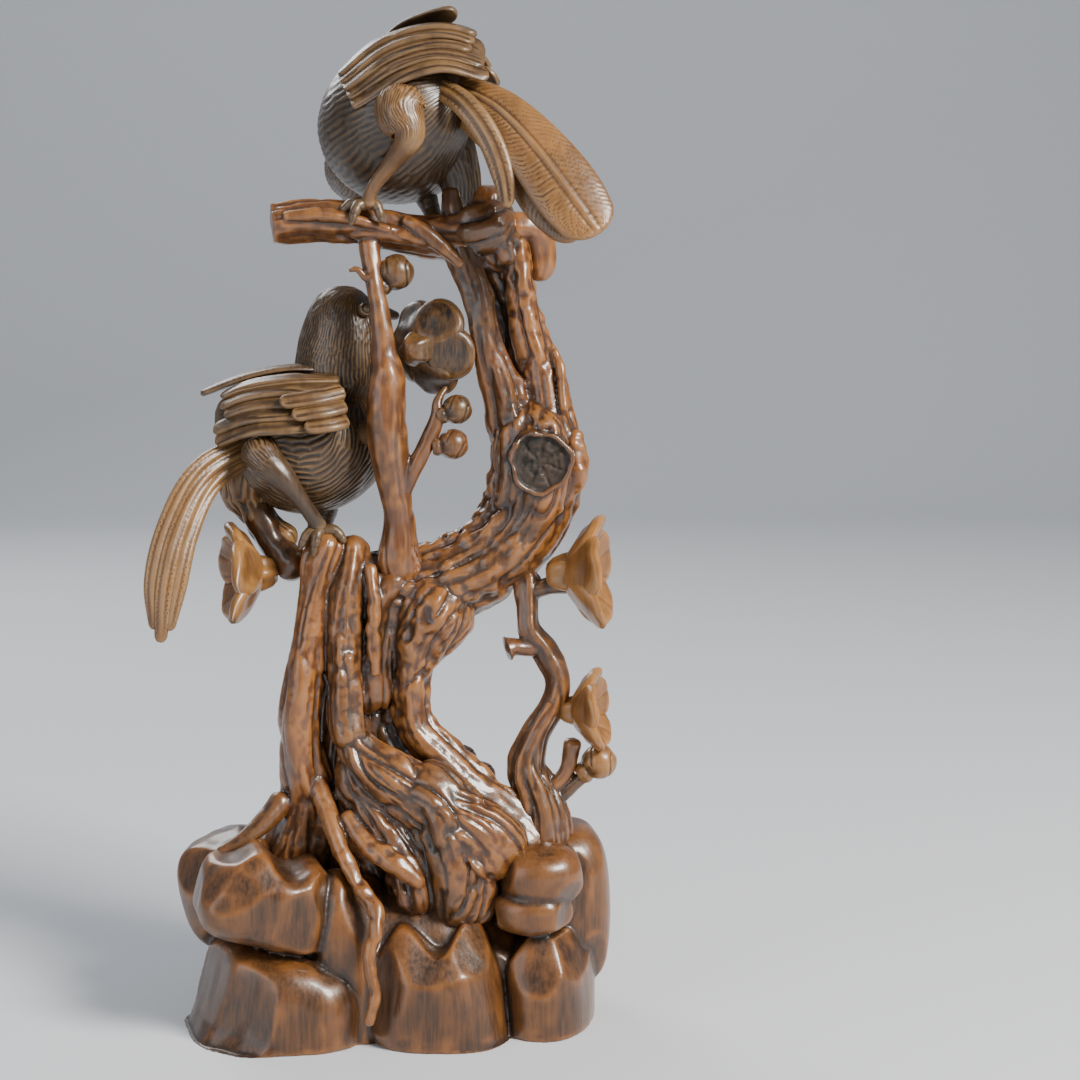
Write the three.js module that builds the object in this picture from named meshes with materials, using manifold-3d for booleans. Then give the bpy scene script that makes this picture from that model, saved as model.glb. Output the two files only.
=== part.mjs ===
// A folk carving in one block of boxwood: two plump song birds on an old plum tree, with open blossoms and
// buds, growing out of a rock. Everything is cut from the same block, so the export is one solid.
// Millimetres, +Z up. The origin is on the flat underside, at the middle of the rock, and -Y faces the viewer.
import * as THREE from "three";
import { mergeVertices } from "three/addons/utils/BufferGeometryUtils.js";
import Module from "manifold-3d";

const wasm = await Module();
wasm.setup();

// Driving dimensions
const rockWidth = 82;
const rockDepth = 57;
const featherThickness = 1.6;
const petalThickness = 1.6;
const knotRadius = 6.2;
const blossomPetals = 5;

const toViewer = [0, -1, 0];
const upwards = [0, 0, 1];
const vector = ([x, y, z]) => new THREE.Vector3(x, y, z);

// Turns a closed geometry into a solid that can be joined or cut, without the slivers at its poles.
function solid(geometry) {
  geometry.deleteAttribute("normal");
  geometry.deleteAttribute("uv");
  const merged = mergeVertices(geometry, 1e-4);
  const vertProperties = new Float32Array(merged.attributes.position.array);
  const { array } = merged.index;
  const corners = Array.from({ length: array.length / 3 }, (_, i) => array.slice(3 * i, 3 * i + 3));
  const whole = corners.filter(([a, b, c]) => a !== b && b !== c && c !== a);
  const triVerts = new Uint32Array(whole.flatMap((triangle) => [...triangle]));
  return new wasm.Manifold(new wasm.Mesh({ numProp: 3, vertProperties, triVerts }));
}

// The rings of a form from its start to its end, each as [place along the path, share of the full radius].
// A sawn end is flat. Any other end is a round cap, startReach or endReach long.
function rings(steps, startReach, endReach, sawnStart, sawnEnd) {
  const cap = (sawn, reach) => (sawn ? [[0, 0], [0, 1]] : [[0, 0], [0.4 * reach, 0.8]]);
  const start = cap(sawnStart, startReach);
  const end = cap(sawnEnd, endReach).map(([t, share]) => [1 - t, share]).reverse();
  const from = start.at(-1)[0];
  const span = end[0][0] - from;
  const between = Array.from({ length: steps - 1 }, (_, i) => [from + (span * (i + 1)) / steps, 1]);
  return [...start, ...between, ...end];
}

// The outline of a round section with ridges, as pairs of [across, outwards].
function roundSection(sides, flutes, fluteDepth, phase) {
  return Array.from({ length: sides }, (_, side) => {
    const angle = (side / sides) * 2 * Math.PI;
    const ridge = 1 + fluteDepth * Math.cos(flutes * angle + phase);
    return [ridge * Math.cos(angle), ridge * Math.sin(angle)];
  });
}

// A form carried along a smooth path through points of [x, y, z, half width, half thickness]. Without a
// half thickness it is round. Its thickness points towards face. Flutes are ridges that run along it, and
// a cup bends its two edges back from the face. Section is an outline of its own for a form with steps.
function limb(points, options = {}) {
  const last = points.length - 1;
  const { sides = 8, steps = last, face = toViewer, flutes = 0, fluteDepth = 0, twist = 0 } = options;
  const { cup = 0, sawnStart = false, sawnEnd = false, section } = options;
  const path = new THREE.CatmullRomCurve3(points.map(vector));
  const sizes = points.map(([, , , width, thick = width]) => vector([width, thick, 0]));
  const size = new THREE.CatmullRomCurve3(sizes);
  const apart = (a, b) => path.points[a].distanceTo(path.points[b]);
  const reach = (end, next) => Math.min(0.8, points[end][3] / apart(end, next)) / last;
  const rows = rings(steps, reach(0, 1), reach(last, last - 1), sawnStart, sawnEnd);
  const columns = section ? section.length : sides;
  const geometry = new THREE.SphereGeometry(1, columns, rows.length - 1);
  for (const [row, [t, share]] of rows.entries()) {
    const centre = path.getPoint(t);
    const along = path.getTangent(t);
    const across = new THREE.Vector3().crossVectors(along, vector(face)).normalize();
    const out = new THREE.Vector3().crossVectors(across, along);
    const { x: width, y: thick } = size.getPoint(t);
    const outline = section ?? roundSection(sides, flutes, fluteDepth, twist * t);
    for (let column = 0; column <= columns; column++) {
      const [a, b] = outline[column % columns];
      const sideways = width * share * a;
      const outwards = thick * share * b - (cup * sideways * sideways) / width;
      const { x, y, z } = centre.clone().addScaledVector(across, sideways).addScaledVector(out, outwards);
      geometry.attributes.position.setXYZ(row * (columns + 1) + column, x, y, z);
    }
  }
  return solid(geometry);
}

// A boulder: a ball squared off towards a block, tipped to the right, leaned back and turned by degrees.
// Plan and profile are 1 where it is as round as a ball, and less where it is like a block. Waves make the
// outline run in and out three times.
function boulder([x, y, z], [width, depth, height], options = {}) {
  const { turn = 0, tip = 0, lean = 0, waves = 0, plan = 0.75, profile = 0.6 } = options;
  const geometry = new THREE.SphereGeometry(1, 10, 6);
  geometry.rotateX(Math.PI / 2);
  const { position } = geometry.attributes;
  const squared = (value, power) => Math.sign(value) * Math.abs(value) ** power;
  for (let i = 0; i < position.count; i++) {
    const ring = Math.hypot(position.getX(i), position.getY(i));
    const bearing = Math.atan2(position.getY(i), position.getX(i));
    const reach = ring ** profile * (1 + waves * Math.sin(3 * bearing));
    const across = squared(Math.cos(bearing), plan) * reach * width;
    const ahead = squared(Math.sin(bearing), plan) * reach * depth;
    position.setXYZ(i, across, ahead, squared(position.getZ(i), profile) * height);
  }
  geometry.rotateY(THREE.MathUtils.degToRad(tip));
  geometry.rotateX(THREE.MathUtils.degToRad(lean));
  geometry.rotateZ(THREE.MathUtils.degToRad(turn));
  geometry.translate(x, y, z);
  return solid(geometry);
}

// The rock: a core, with boulders against it on every side. All of them go below the floor and are sawn flat.
const upright = { plan: 0.8, profile: 0.4, waves: 0.03 };
const rock = [
  boulder([0, 3, 6], [rockWidth * 0.42, rockDepth * 0.4, 23]),
  // At the front: a broad left one, its shoulder behind the thin root, the middle one and the right one
  boulder([-22.3, -8.5, -1], [18, 18.5, 19], { ...upright, turn: 8, tip: 7 }),
  boulder([-9.5, -11, 8], [8, 12.5, 25]),
  boulder([8, -16, 0], [13.4, 12, 22], { ...upright, turn: -6, tip: -8 }),
  boulder([30, -9.5, -1], [8.8, 13, 22], { ...upright, turn: -15 }),
  // Above them: the stone that overhangs at the left, the one behind it, a pebble, and the one behind that
  boulder([-26, -14.5, 27], [13, 11.5, 9], { plan: 0.65, turn: 10, tip: 14 }),
  boulder([-31.5, 5, 25], [11, 14, 11.5], { turn: -15, tip: -14 }),
  boulder([28.3, -14, 29], [8.8, 8.5, 8.3], { plan: 0.9, profile: 0.8 }),
  boulder([34, 0, 22], [8.8, 12, 16.5], { turn: 10 }),
  // At the back
  boulder([13, 14, 10], [17, 14, 19], { ...upright, turn: 15, tip: 6 }),
  boulder([-15, 15, 10], [16, 13, 18], { ...upright, turn: -12, tip: -8 }),
];

// The old trunk: limbs that stand side by side with deep clefts between, and run down into the rock as roots.
const ridged = { sides: 8, flutes: 4, fluteDepth: 0.1, twist: 1.5 };
const trunk = [
  // The left limb, with the stub on top that the lower bird stands on
  limb([
    [-13, -2, 98.5, 4.6], [-15.5, -4, 85, 5], [-17.5, -6, 73, 5], [-18.5, -7, 61, 5.2], [-18, -7, 49, 5.6],
    [-19, -4, 38, 7], [-22, 0, 24, 8],
  ], ridged),
  // The middle limb, which widens into the root at the front
  limb([
    [-8, -1, 98, 5.6], [-7, -4, 85, 5.8], [-7, -7, 73, 6], [-5, -9, 62, 6.8], [0, -9, 50, 8.5],
    [5.5, -9, 39, 10.5], [10, -9, 28, 12.5], [11.5, -9, 16, 12.5],
  ], { ...ridged, steps: 6 }),
  limb([
    [-5, -8, 70, 4.5], [1.5, -12, 58, 6], [9.5, -14, 47, 7], [17, -14, 37, 7.5], [21.5, -12, 26, 7.5],
  ], ridged),
  // The right limb, which leaves the others under the bend and runs out to the side shoot's foot
  limb([
    [9, 2, 86, 9.6], [5, 1, 75, 6.8], [3.5, 0, 66, 4.8], [7, -2, 58, 4.5], [13, -4, 50, 5], [20.5, -6, 42, 5.6],
    [29, -8, 33, 7],
  ], ridged),
  // The thin root that runs down over the front of the rock
  limb([
    [-12.5, -8.5, 54, 2.4], [-9.5, -14, 43, 2.4], [-7, -18.5, 34, 2.4], [-4, -22, 26, 2.4],
    [-3.5, -25, 19, 2.2], [-5, -27.2, 13, 2], [-5, -27.5, 7, 1.6],
  ], { sides: 6, steps: 5 }),
  // The broad back of the trunk, which closes the clefts, and the apron that carries the thin root
  limb([
    [-8, 3, 92, 8, 6], [-9.5, 3, 74, 9.5, 7.5], [-8, 4, 54, 12, 10], [-3, 6, 36, 18, 15], [0, 6, 20, 24, 18],
  ], { ...ridged, steps: 3 }),
  limb([[-11, -5, 57, 4], [-7.5, -9, 46, 5.5], [-3.5, -12, 36, 7], [-1, -14, 25, 8], [-1, -16, 14, 8]]),
  // The bend, where the trunk leans over to the right and then stands up again
  limb([
    [-12, -1, 88, 6.5], [3, 1, 86.5, 8], [12, 1, 88.5, 8.6], [20, 1, 93, 8.6], [26, 1, 100, 8.6],
    [28.5, 0, 108, 9.2], [28.5, 0, 116, 8.8], [27, 0, 124, 6],
  ], { ...ridged, fluteDepth: 0.06, steps: 6 }),
  // The upper trunk is hollow at the front: a right wall, a left wall, and the back of the hollow
  limb([
    [29.5, 0, 116, 7], [30.8, 1, 127.5, 5.3], [29, 2, 135.5, 4.4], [27, 2, 143.5, 4.1], [25, 2, 151, 4.2],
    [22, 3, 158, 4.6], [19, 4, 163, 3.2],
  ], ridged),
  limb([
    [23.5, 0, 117, 5.4], [21, -1, 128, 3.9], [19, -2, 136, 3.6], [17.5, -2, 143.5, 3.7], [15.5, -1.5, 151, 4.2],
    [14, 0, 157, 5.2],
  ], ridged),
  limb([[27, 4, 121, 5.5], [25.5, 6, 133, 5], [23.5, 6.5, 142, 4.8], [20.5, 6, 150, 4.6], [17, 4, 157, 4.8]]),
  limb([[12, 1, 156.5, 5], [18, 0, 157.5, 5.6], [23, 2, 161, 4.6]]),
];

// The sawn-off bough at the knot, with a raised rim
const knotFace = [28.6, -11, 112.2];
const knotRound = { sides: 12, steps: 1, face: upwards, sawnEnd: true };
const knotDish = limb([
  [knotFace[0], knotFace[1] + 0.8, knotFace[2], knotRadius - 1.6],
  [knotFace[0], knotFace[1] - 1, knotFace[2], knotRadius - 1],
], { ...knotRound, sawnStart: true });
const knot = limb([[29, 0, 113, 5], [...knotFace, knotRadius]], knotRound).subtract(knotDish);

const boughs = [
  // The bough under the upper bird, sawn flat at its left end
  limb([
    [-23.5, -1, 158, 3.9], [-15, 0, 158.8, 4.1], [-7, 0, 158.2, 4], [0.5, 0, 157, 4], [8, 0, 155.8, 4.3],
    [17, 2, 156, 6],
  ], { ...ridged, steps: 4, sawnStart: true }),
  knot,
  // Lumps beside the knot, behind the top of the trunk, and under the upper bird's far foot
  limb([[29, 0, 114, 5], [33.5, 0, 110, 4.2], [35.5, 1, 106.5, 2.6]]),
  limb([[23, 4, 158, 3.5], [28, 4, 155.5, 3.2], [30, 4, 150.5, 3.4], [28, 4, 147.5, 2]]),
  limb([[14, 2, 155, 4.5], [12.8, 2, 161.5, 3], [12, 3, 166, 2.4]]),
  // The stem in the middle, its twig of buds, and the snag near its top
  limb([
    [1, -3, 92, 4], [1, -4, 100.5, 2.9], [0, -5, 108.5, 3.4], [-1, -6, 116.5, 4], [-1.3, -6, 124, 4],
    [-1, -5.5, 130, 3.4], [-2, -5, 138, 2.2], [-3, -4, 145.5, 2], [-4, -2.5, 151, 2], [-4.5, -1, 156, 2.4],
  ], { sides: 7, steps: 8 }),
  limb([
    [0, -5.5, 105, 2.2], [3.6, -6, 111, 1.9], [7, -6, 116.5, 1.9], [9.3, -6, 122, 1.6], [11, -5, 126, 1.2],
    [10, -3, 130, 1.2],
  ], { sides: 6 }),
  limb([[-7.9, -3.2, 149.8, 0.8], [-5.5, -3, 149, 1], [-3.6, -3, 150.6, 1.2]], { sides: 5, steps: 2 }),
  // The side shoot on the right, its stub, and its twigs
  limb([
    [30, -6, 32, 7], [28, -6, 44, 5.2], [25.8, -6, 51.5, 3.9], [27.7, -6, 57.5, 3.1], [31.3, -5.5, 63.5, 2.7],
    [32.2, -5, 68.5, 2.5], [30, -4, 74, 2.7], [26.7, -4, 78.5, 2.5], [26.5, -3, 83, 2.3], [26.5, 0, 90, 3.2],
  ], { flutes: 4, fluteDepth: 0.08 }),
  limb([[28.5, -4, 76.5, 2.1], [25, -5, 75.2, 1.7], [22, -5.5, 74.8, 2.6]], { sides: 7, steps: 2, sawnEnd: true }),
  limb([[26.5, -2, 85.5, 2], [31, -3, 87, 1.8], [35.5, -3, 87, 2]], { sides: 6, steps: 3 }),
  limb([[30, -6, 43, 1.8], [34.5, -6, 46.5, 1.5], [38.5, -6, 50, 1.5]], { sides: 6, steps: 2 }),
  limb([[30.5, -6, 47.5, 1.8], [34, -6, 50.5, 1.6], [35.5, -6, 57, 1.9]], { sides: 6, steps: 2 }),
  // The short stalks of the blossom on the left and of the buds at the back
  limb([[-30, 6, 111, 3], [-28, 6, 103, 3.4], [-24, 5, 95, 3], [-18, 2, 89, 4]], { sides: 7, steps: 4 }),
  limb([[7, 0, 56, 3], [10, 8, 53, 2.4], [16, 13, 46, 2.4]], { sides: 6, steps: 3 }),
  limb([[-6, 8, 57, 4], [-5.5, 15, 60.5, 2.6], [-5, 19, 62, 2.6]], { sides: 6, steps: 2, face: upwards }),
];

// An open blossom: a bell turned about its axis and drawn out into petals, thickest at the calyx, with a
// knob of stamens in its hollow. Axis is the way it faces, and turn is how far round its petals are.
function blossom(centre, axis, radius, turn) {
  const rim = petalThickness / radius;
  const calyx = [[0, -0.5], [0.28, -0.4], [0.36, -0.12]];
  const outside = [[0.82, 0.04], [1, 0.4], [0.86, 0.78]];
  const inside = outside.slice(1).reverse().map(([out, ahead]) => [out - rim, ahead - 0.03]);
  const heart = [[0.25, 0.16], [0, 0.4]];
  const profile = [...calyx, ...outside, ...inside, ...heart].map((p) => new THREE.Vector2(...p));
  const geometry = new THREE.LatheGeometry(profile, 3 * blossomPetals);
  const { position } = geometry.attributes;
  for (let i = 0; i < position.count; i++) {
    const [x, y, z] = [position.getX(i), position.getY(i), position.getZ(i)];
    const lobe = 1 + 0.2 * Math.hypot(x, z) * Math.cos(blossomPetals * Math.atan2(x, z));
    position.setXYZ(i, x * lobe * radius, y * radius, z * lobe * radius);
  }
  geometry.rotateY(THREE.MathUtils.degToRad(turn));
  const lathed = new THREE.Vector3(0, 1, 0);
  geometry.applyQuaternion(new THREE.Quaternion().setFromUnitVectors(lathed, vector(axis).normalize()));
  geometry.translate(...centre);
  return solid(geometry);
}

// A bud on its short stalk: a calyx that widens into a round ball.
function bud(from, centre, radius) {
  const end = vector(centre);
  const away = end.clone().sub(vector(from)).normalize();
  const behind = end.clone().addScaledVector(away, -0.75 * radius).toArray();
  const tip = end.clone().addScaledVector(away, 0.85 * radius).toArray();
  return limb([
    [...from, radius * 0.35], [...behind, radius * 0.62], [...centre, radius], [...tip, radius * 0.6],
  ], { sides: 7 });
}

const blossoms = [
  blossom([34, -3.5, 89.5], [1, -0.2, 0.05], 12, 18),
  blossom([35.3, -6, 62.3], [1, -0.25, 0.1], 8.6, 18),
  blossom([-27, 2, 89.5], [-1, -0.2, 0], 10, 18),
  blossom([5, -2, 134], [0.7, 0.7, 0.1], 9.5, 50),
  blossom([-5, 18, 62], [-0.2, 1, 0.2], 9, 0),
  bud([8.6, -6, 121], [12.6, -6, 122.4], 2.8),
  bud([7.6, -6, 115], [11.8, -6, 115.6], 2.9),
  bud([-2.5, -2.5, 146], [1.2, -2, 149.2], 3.1),
  bud([36.5, -6, 49], [40.6, -6, 52], 3.4),
  bud([12, 12, 51], [14.2, 12.5, 49], 2.6),
  bud([15, 13, 47], [18, 13, 45.3], 2.7),
];

// One feather: a thin blade with a rounded tip, bent over a little towards its edges.
const feather = (points, face) =>
  limb(points.map(([x, y, z, width]) => [x, y, z, width, featherThickness / 2]), { sides: 4, face, cup: 0.12 });

// A folded wing: one blade along a spine of points, whose outside steps like shingles. Each feather rises
// to its lower edge, which stands proud over the feather below. Down is 1 if the section's first edge is the
// wing's lower one, and -1 if it is the upper one.
function wing(spine, { face, feathers, down }) {
  const edge = (i) => 1 - (2 * i) / feathers;
  const shingles = Array.from({ length: feathers }, (_, i) => [[edge(i), 0.3], [edge(i + 1), 1]]);
  const outline = [...shingles.flat(), [-0.95, -0.6], [0, -1], [0.95, -0.6]];
  const section = down > 0 ? outline.map(([a, b]) => [-a, b]).reverse() : outline;
  return limb(spine.map((p) => [...p, 1.3 * featherThickness]), { section, face, cup: 0.14 });
}

// The section of a closed tail: three feathers with a groove between each two.
const tailRidges = [[1, -0.2], [0.85, 0.6], [0.4, 0.3], [0, 1], [-0.4, 0.3], [-0.85, 0.6], [-1, -0.2], [0, -1]];

// A foot: toes that spread from the ankle and grip what is under them.
function foot([x, y, z], toes) {
  return toes.map(([dx, dy, dz]) => limb([
    [x, y, z, 1.4], [x + dx * 0.6, y + dy * 0.6, z + dz * 0.3 + 0.6, 1.3], [x + dx, y + dy, z + dz, 0.8],
  ], { sides: 5, steps: 2, face: [0.1, 0.2, 1] }));
}

// The upper bird sits with its back to the viewer and its head on the far side, low and to the left.
const upperBird = [
  limb([
    [14, -4, 185, 5], [9, 0, 182.5, 11.5], [2.5, 7, 178.5, 15.5], [-1.5, 13, 175.5, 14.3], [-4.5, 20, 172.5, 9],
  ], { sides: 12, steps: 6, face: upwards }),
  limb([[-2, 16, 174, 9.5], [-4.5, 22, 171, 8.8], [-6.5, 27, 169, 7.6], [-8, 31, 166, 5]], { face: upwards }),
  limb([[-7.5, 30, 165.8, 2.8, 2.2], [-9.5, 36.5, 161.5, 0.8, 0.6]], { sides: 6, steps: 1, face: upwards }),
  wing([[-9, -1.5, 184, 5.6], [0.5, -4, 190.5, 7.4], [10.5, -5.5, 192.5, 7.2], [20, -5.5, 189.6, 6]],
    { face: [0, -0.67, 0.7], feathers: 5, down: 1 }),
  wing([[2, 17, 186, 6], [9.5, 13.5, 189.5, 6.6], [15, 7, 191.5, 5.6], [19.5, -1.5, 189, 4.6]],
    { face: [0.6, 0.55, 0.6], feathers: 3, down: -1 }),
  feather([
    [-1, 12, 191, 3], [3.5, 8.5, 195.8, 3.4], [8.5, 5.5, 198.1, 3], [12.9, 2.5, 199.6, 1.8],
  ], [0.2, 0.5, 1]),
  // Shoulder feathers
  ...[0, 1, 2].map((i) => feather([
    [-12.5 + i * 2, -0.5 - i * 1.7, 178.5 + i * 3.6, 2.8], [-11 + i * 2.8, -2.5 - i * 1.2, 184 + i * 2.6, 3],
    [-6.5 + i * 3.2, -4.5 + i * 1.4, 188.5 + i * 1.9, 2],
  ], [-0.7, -0.7, 0.2])),
  // The tail: one broad feather on the outside, a narrow one beside it, and the rest underneath
  feather([
    [11, -3, 185, 3.4], [20, -10.5, 180, 4.6], [27, -16, 172.5, 5.6], [33.5, -20.5, 163.5, 6.2],
    [38.7, -23, 156, 4.6],
  ], [-0.15, -1, 0.55]),
  feather([
    [8, -4, 185, 2], [14, -12, 180.5, 2.4], [18.5, -15, 174, 2.4], [21, -16.5, 167, 2.2], [22, -16.5, 161, 1.2],
  ], [-0.4, -1, 0.3]),
  feather([[14, -2, 182, 4], [24, -10.5, 172, 5], [30, -15, 162, 5], [35, -19.5, 155, 3]], [-0.2, -1, 0.5]),
  limb([[9, 0, 184, 5, 3], [11, 1.5, 175, 5.4, 2.4], [13.5, 2, 167, 4.4, 2.2], [14.5, 2, 160, 3.4, 2]],
    { face: [-0.4, -1, 0] }),
  // The near leg and foot, and the far leg
  limb([
    [3, -5, 182, 5.5], [2, -8.5, 178.5, 4.8], [3.2, -10, 175, 2.8], [0.2, -8, 169.9, 1.8],
    [-3.7, -6, 164.7, 1.5], [-4.5, -4.5, 161.5, 1.8],
  ]),
  ...foot([-4.5, -4, 162], [[-5, 1, -1.5], [-3, -2.5, -3], [2.5, -1.5, -2.5]]),
  limb([[6, 9, 166, 3], [8, 7, 161, 1.8], [9, 4, 158, 2]], { sides: 6, steps: 2 }),
];

// The lower bird stands on the stub, with its head up and turned away to the right.
const lowerBird = [
  limb([
    [-31, 1, 116.5, 5], [-26, 3.5, 115.5, 10.5], [-17.5, 8, 115, 14.6], [-12.5, 10.5, 118.5, 13.8],
    [-10.5, 11, 127, 9.6], [-9.8, 10.5, 135.5, 8.8], [-8.8, 10, 142, 6.8], [-7.5, 9.5, 146, 3.6],
  ], { sides: 12, steps: 9, face: [-0.3, -1, 0.1] }),
  limb([[-5, 11, 141.5, 2.8, 2.4], [1.5, 13, 140, 0.8, 0.7]], { sides: 6, steps: 1 }),
  wing([[-9.5, -2.5, 124.6, 5.6], [-19, -5, 124.2, 6.6], [-28.5, -3.4, 123, 6.2], [-36.4, 0.8, 119.5, 5.6]],
    { face: [0, -0.82, 0.57], feathers: 5, down: -1 }),
  wing([[-8, 16, 124, 6], [-17, 18.5, 123.5, 6.5], [-27, 14.5, 122.5, 6], [-36, 7.5, 120.5, 5]],
    { face: [-0.1, 0.9, 0.45], feathers: 3, down: 1 }),
  feather([[-14, 6.5, 129.6, 3], [-21, 5.5, 129.8, 3.4], [-29, 5, 128.2, 3], [-38, 4.2, 124.8, 1.8]], [0, 0.1, 1]),
  // Shoulder feathers
  ...[0, 1, 2].map((i) => feather([
    [-9.5 + i * 0.3, -4.2 - i * 1.3, 126 - i * 2.8, 1.8], [-14.5 + i * 1.2, -7 - i * 1.2, 125 - i * 2.5, 1.9],
    [-22 + i * 2.4, -7.4 - i * 1.2, 124 - i * 2.4, 1.7],
  ], [0.1, -1, 0.6])),
  // The tail: long feathers side by side, cut as ridges
  limb([
    [-28, 2, 114.8, 3, 2], [-36.7, -4, 109.3, 3.7, 2], [-41.7, -9, 99.4, 4, 1.8], [-44, -12, 89, 4, 1.6],
    [-45, -12, 78, 2.2, 1.2],
  ], { section: tailRidges, face: [-0.1, -1, -0.3] }),
  // The near leg and foot, then the fluff under the tail, the far leg, and where the breast meets the stem
  limb([
    [-27, -2.5, 115.5, 4.5], [-25.2, -6, 113, 3.6], [-21.6, -7.2, 109.5, 2.2], [-17.5, -6.2, 104, 1.7],
    [-14, -4.5, 98.5, 1.6],
  ], { steps: 6 }),
  ...foot([-14, -4.5, 98.5], [[-4, -1, -2.5], [-1.5, -2.5, -3.5], [4, -1, -1.5]]),
  limb([[-29, 5, 112, 6], [-29.5, 6, 106, 4.6], [-26, 7, 99, 3.4], [-20, 6, 94, 2.6]], { ...ridged, steps: 2 }),
  limb([[-14, 10, 104, 4], [-15, 8, 97, 2.4], [-15, 3, 91, 3]], { sides: 6, steps: 2 }),
  limb([[-8, 3, 117.5, 3], [-1, -5, 117.5, 2]], { sides: 6, steps: 1 }),
];

// Everything is one block. The floor plane saws the underside flat.
const block = new THREE.BoxGeometry(3 * rockWidth, 3 * rockDepth, rockWidth).translate(0, 0, -rockWidth / 2);
const whole = [...rock, ...trunk, ...boughs, ...blossoms, ...upperBird, ...lowerBird]
  .reduce((joined, form) => joined.add(form))
  .subtract(solid(block));

const { numProp, vertProperties, triVerts } = whole.getMesh();
const geometry = new THREE.BufferGeometry();
geometry.setAttribute("position", new THREE.BufferAttribute(vertProperties, numProp));
geometry.setIndex(new THREE.BufferAttribute(triVerts, 1));
geometry.computeVertexNormals();

const stainedBoxwood = new THREE.MeshStandardMaterial({ color: 0x5a3018, roughness: 0.35, metalness: 0 });
const carving = new THREE.Mesh(geometry, stainedBoxwood);
carving.name = "carving";

const figurine = new THREE.Group();
figurine.add(carving);

export default figurine;
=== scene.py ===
# %% [markdown]
# # A carved bird and flower figurine
# The real object is one block of boxwood: a rock, an old plum tree on it, its blossoms and two birds. A packed
# solid already gives its true size and pose. This lesson makes the surface that a carver's knife, a dark stain
# and many layers of wax leave on it. The carving is made as six pieces that touch as they do in the block, so
# that each one can have as many fine faces as its own detail needs.

# %% Load the solid and keep its box
import math

import bpy
import numpy as np
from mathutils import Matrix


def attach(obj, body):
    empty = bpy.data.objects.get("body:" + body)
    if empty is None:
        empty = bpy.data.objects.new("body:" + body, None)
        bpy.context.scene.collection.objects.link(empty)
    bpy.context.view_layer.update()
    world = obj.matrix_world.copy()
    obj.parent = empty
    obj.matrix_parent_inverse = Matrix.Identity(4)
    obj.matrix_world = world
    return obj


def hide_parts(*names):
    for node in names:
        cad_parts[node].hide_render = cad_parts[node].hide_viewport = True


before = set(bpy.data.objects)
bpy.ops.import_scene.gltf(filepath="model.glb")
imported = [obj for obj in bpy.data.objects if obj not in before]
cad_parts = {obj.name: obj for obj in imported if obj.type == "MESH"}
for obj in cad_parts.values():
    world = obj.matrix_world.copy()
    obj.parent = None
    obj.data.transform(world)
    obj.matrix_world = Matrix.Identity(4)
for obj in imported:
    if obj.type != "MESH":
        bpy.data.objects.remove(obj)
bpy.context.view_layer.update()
MM = 0.001

# %% [markdown]
# ## The viewer's place
# The photograph was taken from near, about level with the middle of the carving and a little to its left. The
# camera goes first, because every later look at the carving depends on it.

# %% Camera
camera_data = bpy.data.cameras.new("viewer")
camera_data.lens = 75.87
camera_data.sensor_width = 36
camera = bpy.data.objects.new("viewer", camera_data)
camera.location = (0, -0.45, 0.15)
camera.rotation_euler = [math.radians(angle) for angle in (90 - 6.845, 0, -3.7)]
bpy.context.scene.collection.objects.link(camera)
bpy.context.scene.camera = camera
print("camera at", tuple(camera.location))

# %% [markdown]
# ## Noise
# A knife never cuts the same stroke twice. What tells one stroke from the next is noise: random numbers on a
# lattice, blended smoothly in between. It is made here in numpy because the cuts are real geometry, and it has a
# fixed seed, so that each run carves the same bird.

# %% Smooth noise in three dimensions
LATTICE_SIDE = 32
LATTICE = np.random.default_rng(11).uniform(-1, 1, (LATTICE_SIDE,) * 3)


def noise(x, y, z, seed=0):
    """The lattice's random values, blended between the eight corners around a place by 3t^2 - 2t^3 each way."""
    x, y, z = np.broadcast_arrays(x + 7.31 * seed, y + 3.77 * seed, z + 5.13 * seed)
    x0, y0, z0 = (np.floor(v).astype(np.int32) for v in (x, y, z))
    tx, ty, tz = ((t * t * (3 - 2 * t)) for t in (x - x0, y - y0, z - z0))
    x0, y0, z0 = (v % LATTICE_SIDE for v in (x0, y0, z0))
    x1, y1, z1 = ((v + 1) % LATTICE_SIDE for v in (x0, y0, z0))
    low = (LATTICE[x0, y0, z0] * (1 - tx) + LATTICE[x1, y0, z0] * tx) * (1 - ty)
    low = low + (LATTICE[x0, y1, z0] * (1 - tx) + LATTICE[x1, y1, z0] * tx) * ty
    high = (LATTICE[x0, y0, z1] * (1 - tx) + LATTICE[x1, y0, z1] * tx) * (1 - ty)
    high = high + (LATTICE[x0, y1, z1] * (1 - tx) + LATTICE[x1, y1, z1] * tx) * ty
    return low * (1 - tz) + high * tz


def groove(value, width):
    """1 in the middle of a cut, where the value is 0, and falling off as a bell curve of the given width."""
    return np.exp(-((value / width) ** 2))


print("noise at two places", noise(np.array([0.2, 3.3]), np.array([0.4, 1.2]), 0.1).round(3))

# %% [markdown]
# ## Paths and skins
# Limbs, feathers, toes and bodies are all one idea: an outline carried along a curved path, wider here and
# thinner there. The path is a smooth curve through a few rows of numbers, and the skin is a grid of points, one
# row for each step along the path. Relief is added to the grid before it becomes a mesh.

# %% A smooth path


def unit(vectors):
    """Each vector divided by its own length."""
    return vectors / np.maximum(np.linalg.norm(vectors, axis=-1, keepdims=True), 1e-9)


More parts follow.
